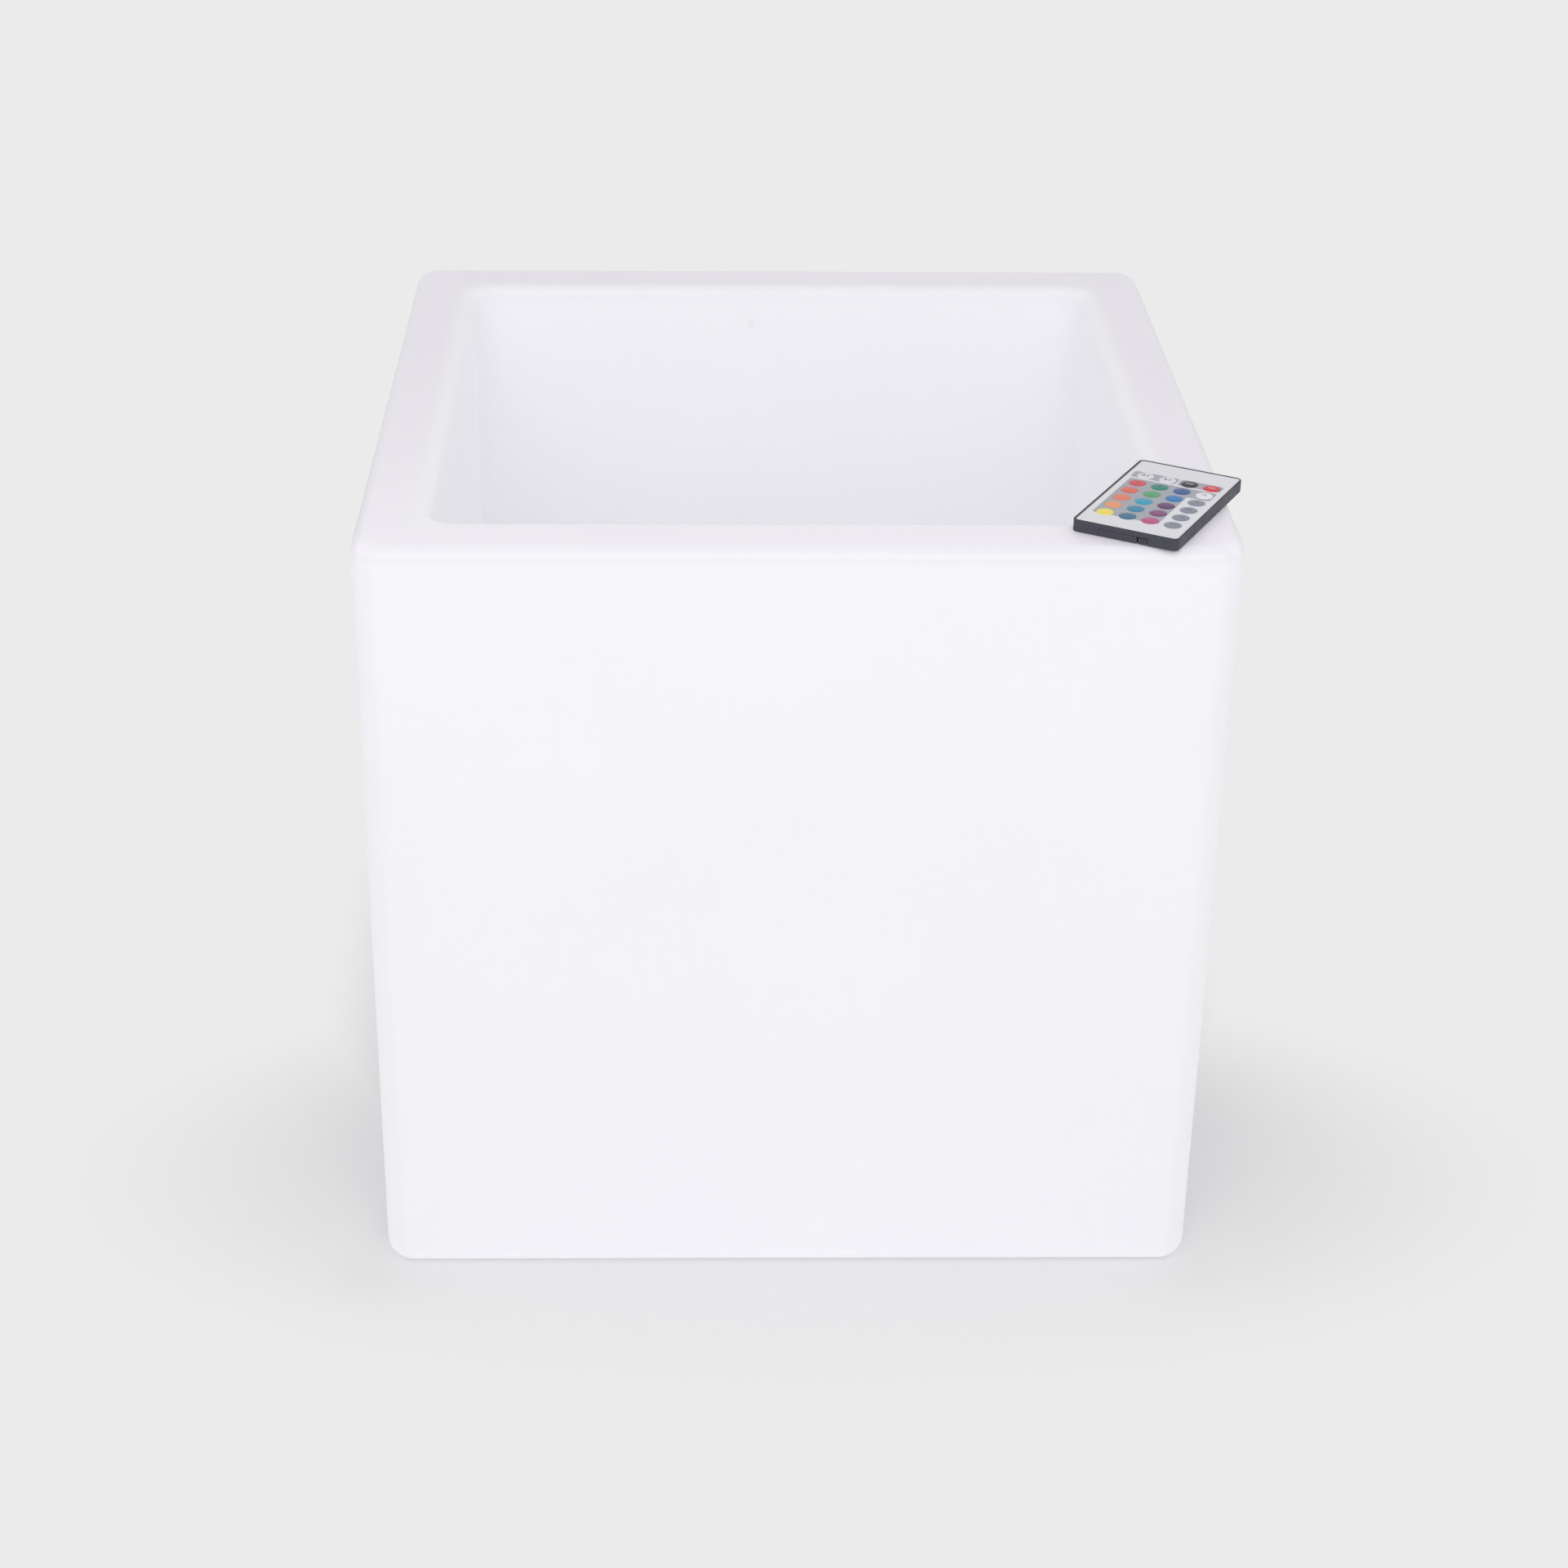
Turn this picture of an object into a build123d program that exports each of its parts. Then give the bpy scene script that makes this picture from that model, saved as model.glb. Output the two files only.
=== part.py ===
"""Open-top LED cube light: a double-walled polyethylene cube with a basin in its top, a round lamp module
screwed into a recess of its underside, and the card remote that lies across a corner of its rim.

Millimetres, +Z up. The origin is the centre of the cube's footprint, on the surface it stands on.
"""
from build123d import *
from math import asin, cos, radians, sin, sqrt, tan
import os

os.makedirs("parts", exist_ok=True)

# ---------------------------------------------------------------- cube shell
cube_width = 410.0  # left to right
cube_depth = 410.0  # front to back
cube_height = 400.0
wall = 3.5  # moulded skin, outside and in the basin
rim_width = 34.0  # flat top between the outside and the basin
corner_radius = 14.0  # upright outer corners
top_edge_radius = 6.0
bottom_edge_radius = 12.0
basin_depth = 260.0
basin_corner_radius = 14.0
basin_floor_radius = 10.0
basin_mouth_radius = 6.0

# ---------------------------------------------------------------- recess and access hole in the base
recess_radius = 95.0
recess_depth = 16.0
recess_edge_radius = 3.0
access_radius = 73.5
mounting_ring_radius = 84.0  # radius on which the lamp module's screws stand
mounting_screws = 6
boss_radius = 8.0
boss_height = 15.0
insert_flats = 8.0  # across the flats of a moulded-in hexagonal insert
insert_length = 11.0

# ---------------------------------------------------------------- screws
m4_radius = 2.0
m3_radius = 1.5
thread_clearance = 0.05
hole_clearance = 0.25
housing_screw_length = 15.0
m4_head_radius = 3.9
m4_head_height = 2.6
head_clearance = 0.6
inner_screw_length = 7.0
m3_head_radius = 2.8
m3_head_height = 1.9
lens_screw_length = 10.0

# ---------------------------------------------------------------- lamp housing and lens
gasket_thickness = 2.0
flange_radius = 92.5
flange_thickness = 4.0
flange_chamfer = 1.5
counterbore_depth = 2.0
cup_radius = 61.0
cup_wall = 2.5
cup_height = 52.0
cup_floor = 3.0
lip_radius = 71.0
lip_thickness = 4.0
lens_screw_ring_radius = 65.5
lens_screws_count = 4
lens_boss_radius = 4.8
lens_boss_height = 8.0
seal_width = 2.0
seal_depth = 2.0
seal_ring_radius = 60.7
seal_side_gap = 0.2
lens_flange = 3.0
lens_wall = 2.0
lens_radius = 57.0
lens_rise = 32.0
lens_shoulder = 3.0

# ---------------------------------------------------------------- light source
sink_post_ring_radius = 55.5
sink_post_radius = 3.5
sink_posts_count = 4
sink_level = 41.0  # heat sink's underside above the cup floor
sink_thickness = 2.0
sink_gap = 0.5
fin_thickness = 1.5
fin_height = 6.0
fin_pitch = 10.0
fins_each_side = 4
led_board_radius = 48.0
led_board_thickness = 1.6
led_size = 5.0
led_height = 1.6
outer_led_ring_radius = 40.0
outer_leds = 12
inner_led_ring_radius = 18.0
inner_leds = 6
led_screw_ring_radius = 29.0
led_screws = 3
receiver_width = 6.0
receiver_depth = 4.5
receiver_height = 6.5
receiver_lens_radius = 2.2
lead_hole_radius = 3.0
lead_angle = 60.0  # direction of the LED lead's hole and connector
lead_hole_ring_radius = 52.8
led_plug_ring_radius = 39.0
led_plug_width = 5.0
led_plug_height = 4.0

# ---------------------------------------------------------------- battery and control board
cell_radius = 9.2
cell_length = 65.0
cell_pitch = 19.0
cells_x = -26.0
cell_nub_radius = 3.0
cell_nub_height = 0.8
strip_thickness = 0.3
cradle_length = 60.0
cradle_floor = 1.2
cradle_side = 1.8
board_width = 46.0
board_length = 52.0
board_x = 27.0
board_thickness = 1.6
board_post_radius = 3.0
board_post_inset = 5.0
socket_width = 9.0
socket_length = 11.0
socket_height = 11.0
socket_bore_radius = 3.15
socket_bore_depth = 9.5
socket_pin_radius = 1.0
controls_x = 30.0
controls_pitch = 16.0
wire_radius = 0.9

# ---------------------------------------------------------------- bung, button and status window
bung_hole_radius = 5.0
bung_cap_radius = 8.5
bung_cap_thickness = 1.5
bung_tab_reach = 14.0
bung_nose_length = 4.0
face_gap = 0.1
running_gap = 0.05
button_radius = 6.0
button_proud = 1.0
button_chamfer = 0.6
button_collar = 1.5
button_collar_thickness = 1.2
button_stem_radius = 2.0
switch_width = 7.0
switch_height = 4.0
plunger_radius = 1.75
plunger_proud = 1.0
plunger_length = 2.0
button_travel = 0.5
window_radius = 2.0

# ---------------------------------------------------------------- card remote
remote_from_right = 35.7  # centre of the remote from the cube's right side
remote_from_front = 47.7  # and from its front
remote_turn = 29.0  # degrees that its far end swings to the right
remote_width = 52.0
remote_length = 86.0
remote_height = 6.0
remote_corner_radius = 3.0
case_wall = 0.8
case_floor = 0.9
case_ledge = 0.9
case_chamfer = 0.3
plate_thickness = 1.0
overlay_thickness = 0.3
overlay_gap = 0.05
pcb_thickness = 0.8
pcb_level = 3.6
pcb_gap = 0.3
emitter_room = 4.0  # left free past the far end of the circuit board
key_radius = 4.1
key_pitch_x = 11.1
key_pitch_y = 10.2
keys_x = 0.9  # centre of the key field
keys_y = -2.1
key_rise = 0.45
key_crown_radius = 2.6
key_nub_radius = 1.0
key_travel = 0.3
snap_dome_radius = 2.6
snap_dome_height = 0.2
emitter_radius = 1.5
emitter_proud = 0.3

# ---------------------------------------------------------------- remote's battery tray
coin_radius = 10.0
coin_thickness = 2.5
coin_gap = 0.1
tray_x = -0.65
tray_face_width = 23.9
tray_face_thickness = 1.2
tray_height = 3.2
tray_level = 0.2  # above the rim, so that the case alone carries the remote
tray_floor = 0.6
tray_side = 0.7
tray_flange = 0.9
tray_flange_thickness = 0.7
tray_clearance = 0.15
latch_width = 4.2
latch_slot = 0.95
latch_arm = 1.0
latch_length = 8.0
latch_ribs = 3
latch_rib_width = 0.7
latch_rib_proud = 0.25
contact_thickness = 0.2

# ---------------------------------------------------------------- worked-out levels
basin_width = cube_width - 2 * rim_width
basin_length = cube_depth - 2 * rim_width
basin_floor_z = cube_height - basin_depth
flange_top = recess_depth - gasket_thickness
flange_bottom = flange_top - flange_thickness
cup_floor_z = flange_bottom + cup_floor
cup_top = flange_bottom + cup_height
cup_bore = cup_radius - cup_wall
sink_z = cup_floor_z + sink_level
led_board_z = sink_z + sink_thickness
led_z = led_board_z + led_board_thickness
board_z = cup_floor_z + socket_height
board_top = board_z + board_thickness
button_z = flange_bottom - button_proud
plunger_z = board_z - switch_height - plunger_proud
overlay_z = remote_height - overlay_thickness
plate_z = overlay_z - plate_thickness
pcb_top = pcb_level + pcb_thickness
nub_z = pcb_top + snap_dome_height + key_travel + 0.02
near_end = -remote_length / 2
remote_x = cube_width / 2 - remote_from_right
remote_y = remote_from_front - cube_depth / 2


def remote_plane(level):
    """A plane of the remote at a height above the rim: X across it, Y towards its far end."""
    turn = radians(remote_turn)
    origin = (remote_x, remote_y, cube_height + level)
    return Plane(origin=origin, x_dir=(cos(turn), -sin(turn), 0), z_dir=(0, 0, 1))


def remote_end_plane(along, level):
    """An upright plane across the remote, at a distance along it, that looks towards its far end."""
    flat = remote_plane(level)
    return Plane(origin=flat.from_local_coords((0, along, 0)), x_dir=-flat.x_dir, z_dir=flat.y_dir)


def crown_arc(edge_radius, edge_level, rise):
    """The arc of a round crown: from its edge, in the half section, up to its top on the axis."""
    sphere = (edge_radius**2 + rise**2) / (2 * rise)
    half_angle = asin(edge_radius / sphere) / 2
    middle = (sphere * sin(half_angle), edge_level + rise - sphere * (1 - cos(half_angle)))
    return ThreePointArc((edge_radius, edge_level), middle, (0, edge_level + rise))


def rounded_block(width, length, low, high, corner, bottom, top):
    """A block with rounded upright corners, and rounded bottom and top edges where a radius is given."""
    with BuildPart() as block:
        with BuildSketch(Plane.XY.offset(low)):
            RectangleRounded(width, length, corner)
        extrude(amount=high - low)
        if bottom:
            fillet(block.faces().sort_by(Axis.Z)[0].edges(), bottom)
        if top:
            fillet(block.faces().sort_by(Axis.Z)[-1].edges(), top)
    return block.part


def make_screw(shank_radius, length, head_radius, head_height):
    """One pan-head screw, head up, whose head seats at 0."""
    crown_radius = head_radius * 0.8
    with BuildPart() as screw:
        with BuildSketch(Plane.XZ):
            with BuildLine():
                Polyline((0, head_height), (0, -length), (shank_radius, -length), (shank_radius, 0))
                Polyline((shank_radius, 0), (head_radius, 0), (crown_radius, head_height), (0, head_height))
            make_face()
        revolve(axis=Axis.Z)
        # Cross recess of the driver
        with BuildSketch(Plane.XY.offset(head_height)):
            Rectangle(head_radius, head_radius / 4)
            Rectangle(head_radius / 4, head_radius)
        extrude(amount=-head_height / 2, mode=Mode.SUBTRACT)
    return screw.part


def save(piece, label):
    """Name a finished piece and write it as parts/LABEL.step."""
    piece.part.label = label
    export_step(piece.part, f"parts/{label}.step")


# ================================================================ cube shell
outer_block = rounded_block(
    cube_width, cube_depth, 0, cube_height, corner_radius, bottom_edge_radius, top_edge_radius
)
basin_block = rounded_block(
    basin_width, basin_length, basin_floor_z, cube_height + wall, basin_corner_radius, basin_floor_radius, 0
)
air_block = rounded_block(
    cube_width - 2 * wall,
    cube_depth - 2 * wall,
    wall,
    cube_height - wall,
    corner_radius - wall,
    bottom_edge_radius - wall,
    top_edge_radius - wall,
)
lining_block = rounded_block(
    basin_width + 2 * wall,
    basin_length + 2 * wall,
    basin_floor_z - wall,
    cube_height + wall,
    basin_corner_radius + wall,
    basin_floor_radius + wall,
    0,
)

# The air between the skins, with the recess's own skin and the insert bosses left out of it
with BuildPart() as air_space:
    add(air_block)
    add(lining_block, mode=Mode.SUBTRACT)
    with BuildSketch(Plane.XY):
        Circle(recess_radius + wall)
    extrude(amount=recess_depth + wall, mode=Mode.SUBTRACT)
    with BuildSketch(Plane.XY.offset(recess_depth)):
        with PolarLocations(mounting_ring_radius, mounting_screws):
            Circle(boss_radius)
    extrude(amount=boss_height, mode=Mode.SUBTRACT)

with BuildPart() as cube_shell:
    add(outer_block)
    add(basin_block, mode=Mode.SUBTRACT)
    rim_face = cube_shell.faces().sort_by(Axis.Z)[-1]
    fillet(rim_face.inner_wires()[0].edges(), basin_mouth_radius)
    with BuildSketch(Plane.XY):
        Circle(recess_radius)
    extrude(amount=recess_depth, mode=Mode.SUBTRACT)
    base_face = cube_shell.faces().sort_by(Axis.Z)[0]
    fillet(base_face.inner_wires()[0].edges(), recess_edge_radius)
    add(air_space.part, mode=Mode.SUBTRACT)
    with BuildSketch(Plane.XY.offset(recess_depth)):
        Circle(access_radius)
    extrude(amount=wall, mode=Mode.SUBTRACT)
    with BuildSketch(Plane.XY.offset(recess_depth)):
        with PolarLocations(mounting_ring_radius, mounting_screws):
            RegularPolygon(insert_flats / 2, 6, major_radius=False)
    extrude(amount=insert_length, mode=Mode.SUBTRACT)
save(cube_shell, "cube_shell")

with BuildPart() as threaded_inserts:
    with BuildSketch(Plane.XY.offset(recess_depth)):
        with PolarLocations(mounting_ring_radius, mounting_screws):
            RegularPolygon(insert_flats / 2, 6, major_radius=False)
            Circle(m4_radius + thread_clearance, mode=Mode.SUBTRACT)
    extrude(amount=insert_length)
save(threaded_inserts, "threaded_inserts")

# ================================================================ lamp module
with BuildPart() as housing_gasket:
    with BuildSketch(Plane.XY.offset(flange_top)):
        Circle(flange_radius - head_clearance)
        Circle(access_radius + head_clearance, mode=Mode.SUBTRACT)
        with PolarLocations(mounting_ring_radius, mounting_screws):
            Circle(m4_radius + hole_clearance, mode=Mode.SUBTRACT)
    extrude(amount=gasket_thickness)
save(housing_gasket, "housing_gasket")

board_posts = [
    (board_x + side_x * (board_width / 2 - board_post_inset), side_y * (board_length / 2 - board_post_inset))
    for side_x in (-1, 1)
    for side_y in (-1, 1)
]

with BuildPart() as lamp_housing:
    with BuildSketch(Plane.XY.offset(flange_bottom)):
        Circle(flange_radius)
    extrude(amount=flange_thickness)
    flange_rim = lamp_housing.edges().filter_by(GeomType.CIRCLE).group_by(Axis.Z)[0]
    chamfer(flange_rim, flange_chamfer)
    with BuildSketch(Plane.XY.offset(flange_bottom + cup_floor)):
        Circle(cup_radius)
    extrude(amount=cup_height - cup_floor)
    with BuildSketch(Plane.XY.offset(cup_top - lip_thickness)):
        Circle(lip_radius)
    extrude(amount=lip_thickness)
    with BuildSketch(Plane.XY.offset(cup_top - lip_thickness - lens_boss_height)):
        with PolarLocations(lens_screw_ring_radius, lens_screws_count, start_angle=45):
            Circle(lens_boss_radius)
    extrude(amount=lens_boss_height)
    with BuildSketch(Plane.XY.offset(cup_floor_z)):
        Circle(cup_bore)
    extrude(amount=cup_height, mode=Mode.SUBTRACT)
    # Posts for the heat sink, standing against the wall, and for the control board
    with BuildSketch(Plane.XY.offset(cup_floor_z)):
        with PolarLocations(sink_post_ring_radius, sink_posts_count):
            Circle(sink_post_radius)
    extrude(amount=sink_level)
    with BuildSketch(Plane.XY.offset(cup_floor_z)):
        with Locations(*board_posts):
            Circle(board_post_radius)
    extrude(amount=socket_height)
    # Groove of the lens seal
    with BuildSketch(Plane.XY.offset(cup_top)):
        Circle(seal_ring_radius + seal_width / 2 + seal_side_gap)
        Circle(seal_ring_radius - seal_width / 2 - seal_side_gap, mode=Mode.SUBTRACT)
    extrude(amount=-seal_depth, mode=Mode.SUBTRACT)
    # Screw holes
    with BuildSketch(Plane.XY.offset(sink_z)):
        with PolarLocations(sink_post_ring_radius, sink_posts_count):
            Circle(m3_radius)
    extrude(amount=-inner_screw_length, mode=Mode.SUBTRACT)
    with BuildSketch(Plane.XY.offset(board_z)):
        with Locations(*board_posts):
            Circle(m3_radius)
    extrude(amount=-inner_screw_length, mode=Mode.SUBTRACT)
    with BuildSketch(Plane.XY.offset(cup_top)):
        with PolarLocations(lens_screw_ring_radius, lens_screws_count, start_angle=45):
            Circle(m3_radius)
    extrude(amount=-lens_screw_length, mode=Mode.SUBTRACT)
    with BuildSketch(Plane.XY.offset(flange_bottom)):
        with PolarLocations(mounting_ring_radius, mounting_screws):
            Circle(m4_radius + hole_clearance)
    extrude(amount=flange_thickness, mode=Mode.SUBTRACT)
    with BuildSketch(Plane.XY.offset(flange_bottom)):
        with PolarLocations(mounting_ring_radius, mounting_screws):
            Circle(m4_head_radius + head_clearance)
    extrude(amount=counterbore_depth, mode=Mode.SUBTRACT)
    # Openings of the controls
    with BuildSketch(Plane.XY.offset(flange_bottom)):
        with Locations((controls_x, 0)):
            Circle(bung_hole_radius)
        with Locations((controls_x, -controls_pitch)):
            Circle(button_radius + running_gap)
        with Locations((controls_x, controls_pitch)):
            Circle(window_radius + running_gap)
    extrude(amount=cup_floor, mode=Mode.SUBTRACT)
save(lamp_housing, "lamp_housing")

m4_screw = make_screw(m4_radius, housing_screw_length, m4_head_radius, m4_head_height)
m3_inner = make_screw(m3_radius, inner_screw_length, m3_head_radius, m3_head_height)
m3_lens = make_screw(m3_radius, lens_screw_length, m3_head_radius, m3_head_height)

with BuildPart() as housing_screws:
    with Locations(Location((0, 0, flange_bottom + counterbore_depth), (180, 0, 0))):
        with PolarLocations(mounting_ring_radius, mounting_screws):
            add(m4_screw)
save(housing_screws, "housing_screws")

with BuildPart() as lens_seal:
    with BuildSketch(Plane.XY.offset(cup_top - seal_depth)):
        Circle(seal_ring_radius + seal_width / 2)
        Circle(seal_ring_radius - seal_width / 2, mode=Mode.SUBTRACT)
    extrude(amount=seal_depth)
save(lens_seal, "lens_seal")

lens_top = cup_top + lens_rise
lens_seat = cup_top + lens_flange
lens_skirt = lens_seat + lens_shoulder
lens_bore = lens_radius - lens_wall
with BuildPart() as lens_dome:
    with BuildSketch(Plane.XZ):
        with BuildLine():
            Polyline((lens_radius, lens_skirt), (lens_radius, lens_seat), (lip_radius, lens_seat))
            Polyline((lip_radius, lens_seat), (lip_radius, cup_top), (lens_bore, cup_top))
            Line((lens_bore, cup_top), (lens_bore, lens_skirt))
            crown_arc(lens_bore, lens_skirt, lens_top - lens_wall - lens_skirt)
            Line((0, lens_top - lens_wall), (0, lens_top))
            crown_arc(lens_radius, lens_skirt, lens_top - lens_skirt)
        make_face()
    revolve(axis=Axis.Z)
    with BuildSketch(Plane.XY.offset(cup_top)):
        with PolarLocations(lens_screw_ring_radius, lens_screws_count, start_angle=45):
            Circle(m3_radius + hole_clearance)
    extrude(amount=lens_flange, mode=Mode.SUBTRACT)
save(lens_dome, "lens_dome")

with BuildPart() as lens_screws:
    with PolarLocations(lens_screw_ring_radius, lens_screws_count, start_angle=45):
        with Locations((0, 0, cup_top + lens_flange)):
            add(m3_lens)
save(lens_screws, "lens_screws")

lead_x = cos(radians(lead_angle))
lead_y = sin(radians(lead_angle))
with BuildPart() as heat_sink:
    with BuildSketch(Plane.XY.offset(sink_z)):
        Circle(cup_bore - sink_gap)
        with PolarLocations(sink_post_ring_radius, sink_posts_count):
            Circle(m3_radius + hole_clearance, mode=Mode.SUBTRACT)
        with Locations((lead_hole_ring_radius * lead_x, lead_hole_ring_radius * lead_y)):
            Circle(lead_hole_radius, mode=Mode.SUBTRACT)
        with PolarLocations(led_screw_ring_radius, led_screws, start_angle=30):
            Circle(m3_radius, mode=Mode.SUBTRACT)
    extrude(amount=sink_thickness)
    with BuildSketch(Plane.XY.offset(sink_z)):
        for number in range(-fins_each_side, fins_each_side + 1):
            fin_x = number * fin_pitch
            fin_length = 2 * sqrt(led_board_radius**2 - fin_x**2) - fin_pitch
            with Locations((fin_x, 0)):
                Rectangle(fin_thickness, fin_length)
        with PolarLocations(led_screw_ring_radius, led_screws, start_angle=30):
            Circle(m3_head_radius, mode=Mode.SUBTRACT)
    extrude(amount=-fin_height)
save(heat_sink, "heat_sink")

with BuildPart() as led_board:
    with BuildSketch(Plane.XY.offset(led_board_z)):
        Circle(led_board_radius)
        with PolarLocations(led_screw_ring_radius, led_screws, start_angle=30):
            Circle(m3_radius + hole_clearance, mode=Mode.SUBTRACT)
    extrude(amount=led_board_thickness)
    with BuildSketch(Plane.XY.offset(led_z)):
        with Locations((led_plug_ring_radius * lead_x, led_plug_ring_radius * lead_y)):
            Rectangle(led_plug_width, led_plug_width)
    extrude(amount=led_plug_height)
save(led_board, "led_board")

with BuildPart() as led_chips:
    with BuildSketch(Plane.XY.offset(led_z)):
        with PolarLocations(outer_led_ring_radius, outer_leds, start_angle=15):
            Rectangle(led_size, led_size)
        with PolarLocations(inner_led_ring_radius, inner_leds):
            Rectangle(led_size, led_size)
    extrude(amount=led_height)
save(led_chips, "led_chips")

with BuildPart() as ir_receiver:
    with BuildSketch(Plane.XY.offset(led_z)):
        Rectangle(receiver_width, receiver_depth)
    extrude(amount=receiver_height)
    with BuildSketch(Plane.XZ.offset(receiver_depth / 2)):
        with Locations((0, led_z + receiver_height * 0.6)):
            Circle(receiver_lens_radius)
    extrude(amount=receiver_lens_radius * 0.5, taper=30)
save(ir_receiver, "ir_receiver")

with BuildPart() as inner_screws:
    with PolarLocations(sink_post_ring_radius, sink_posts_count):
        with Locations((0, 0, sink_z + sink_thickness)):
            add(m3_inner)
    with PolarLocations(led_screw_ring_radius, led_screws, start_angle=30):
        with Locations((0, 0, led_z)):
            add(m3_inner)
    for post in board_posts:
        with Locations((post[0], post[1], board_top)):
            add(m3_inner)
save(inner_screws, "inner_screws")

# ================================================================ battery and control board
cell_z = cup_floor_z + cradle_floor + cell_radius
cell_places = (cells_x - cell_pitch / 2, cells_x + cell_pitch / 2)

with BuildPart() as battery_cradle:
    with BuildSketch(Plane.XY.offset(cup_floor_z)):
        with Locations((cells_x, 0)):
            Rectangle(cell_pitch + 2 * cell_radius + 2 * cradle_side, cradle_length)
    extrude(amount=cradle_floor + cell_radius)
    # Grooves a little wider than the cells, which touch them along their lowest line
    with BuildSketch(Plane.XZ.offset(cradle_length)):
        with Locations(*[(place, cell_z + running_gap) for place in cell_places]):
            Circle(cell_radius + running_gap)
    extrude(amount=-2 * cradle_length, mode=Mode.SUBTRACT)
save(battery_cradle, "battery_cradle")

with BuildPart() as battery_cells:
    with BuildSketch(Plane.XZ.offset(-cell_length / 2)):
        with Locations(*[(place, cell_z) for place in cell_places]):
            Circle(cell_radius)
    extrude(amount=cell_length)
    with BuildSketch(Plane.XZ.offset(cell_length / 2)):
        with Locations(*[(place, cell_z) for place in cell_places]):
            Circle(cell_nub_radius)
    extrude(amount=cell_nub_height)
    # Nickel strip that joins the two cells
    with BuildSketch(Plane.XZ.offset(cell_length / 2 + cell_nub_height)):
        with Locations((cells_x, cell_z)):
            Rectangle(cell_pitch + 2 * cell_nub_radius, 2 * cell_nub_radius)
    extrude(amount=strip_thickness)
save(battery_cells, "battery_cells")

with BuildPart() as control_board:
    with BuildSketch(Plane.XY.offset(board_z)):
        with Locations((board_x, 0)):
            RectangleRounded(board_width, board_length, board_post_inset / 2)
        with Locations(*board_posts):
            Circle(m3_radius + hole_clearance, mode=Mode.SUBTRACT)
    extrude(amount=board_thickness)
save(control_board, "control_board")

chip_width = 7.0
chip_height = 1.2
coil_width = 12.0
coil_height = 6.0
capacitor_radius = 4.0
capacitor_height = 10.0
connector_width = 6.0
connector_length = 8.0
connector_height = 6.0
battery_plug_x = board_x - board_width / 2 + board_post_inset + 5.0
led_lead_x = board_x + board_width / 2 - board_post_inset - 4.0
plug_y = board_length / 2 - board_post_inset - 9.0
with BuildPart() as control_components:
    with BuildSketch(Plane.XY.offset(board_top)):
        with Locations((board_x, 0)):
            Rectangle(chip_width, chip_width)
    extrude(amount=chip_height)
    with BuildSketch(Plane.XY.offset(board_top)):
        with Locations((board_x + coil_width * 1.1, 0)):
            RectangleRounded(coil_width, coil_width, coil_width / 6)
    extrude(amount=coil_height)
    with BuildSketch(Plane.XY.offset(board_top)):
        with Locations((board_x, 2.8 * capacitor_radius), (board_x, 5.0 * capacitor_radius)):
            Circle(capacitor_radius)
    extrude(amount=capacitor_height)
    with BuildSketch(Plane.XY.offset(board_top)):
        with Locations((battery_plug_x, -plug_y), (led_lead_x, plug_y)):
            Rectangle(connector_width, connector_length)
    extrude(amount=connector_height)
save(control_components, "control_components")

with BuildPart() as charging_socket:
    with BuildSketch(Plane.XY.offset(cup_floor_z)):
        with Locations((controls_x, 0)):
            Rectangle(socket_width, socket_length)
    extrude(amount=socket_height)
    with BuildSketch(Plane.XY.offset(cup_floor_z)):
        with Locations((controls_x, 0)):
            Circle(socket_bore_radius)
            Circle(socket_pin_radius, mode=Mode.SUBTRACT)
    extrude(amount=socket_bore_depth, mode=Mode.SUBTRACT)
    with BuildSketch(Plane.XY.offset(cup_floor_z)):
        with Locations((controls_x, 0)):
            Circle(socket_pin_radius)
    extrude(amount=socket_pin_radius, mode=Mode.SUBTRACT)
save(charging_socket, "charging_socket")


def lead_path(points):
    """Straight runs joined by tangent arcs, each as large as 0.45 of the shorter run beside it allows."""
    radii = []
    for before, corner, after in zip(points, points[1:], points[2:]):
        run_in = Vector(*corner) - Vector(*before)
        run_out = Vector(*after) - Vector(*corner)
        half_turn = radians(run_in.get_angle(run_out)) / 2
        radii.append(0.45 * min(run_in.length, run_out.length) / tan(half_turn))
    print("lead arcs, mm:", [round(radius, 1) for radius in radii])
    return FilletPolyline(*points, radius=radii)


def make_lead(points):
    """A round lead along its route."""
    with BuildPart() as lead:
        with BuildLine() as route:
            lead_path(points)
        with BuildSketch(Plane(origin=route.line @ 0, z_dir=route.line % 0)):
            RegularPolygon(wire_radius, 6)
        sweep()
    return lead


plug_top = board_top + connector_height
strip_face = -cell_length / 2 - cell_nub_height - strip_thickness
battery_lead = make_lead(
    [
        (cells_x, strip_face, cell_z),
        (cells_x, strip_face - 6, cell_z),
        (cells_x + 8, strip_face - 11, cell_z + 4),
        (cells_x + 20, strip_face - 11, cell_z + 11),
        (battery_plug_x - 8, -plug_y - 18, plug_top + 8),
        (battery_plug_x - 1, -plug_y - 6, plug_top + 10),
        (battery_plug_x, -plug_y, plug_top + 7),
        (battery_plug_x, -plug_y, plug_top),
    ]
)
save(battery_lead, "battery_lead")

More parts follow.
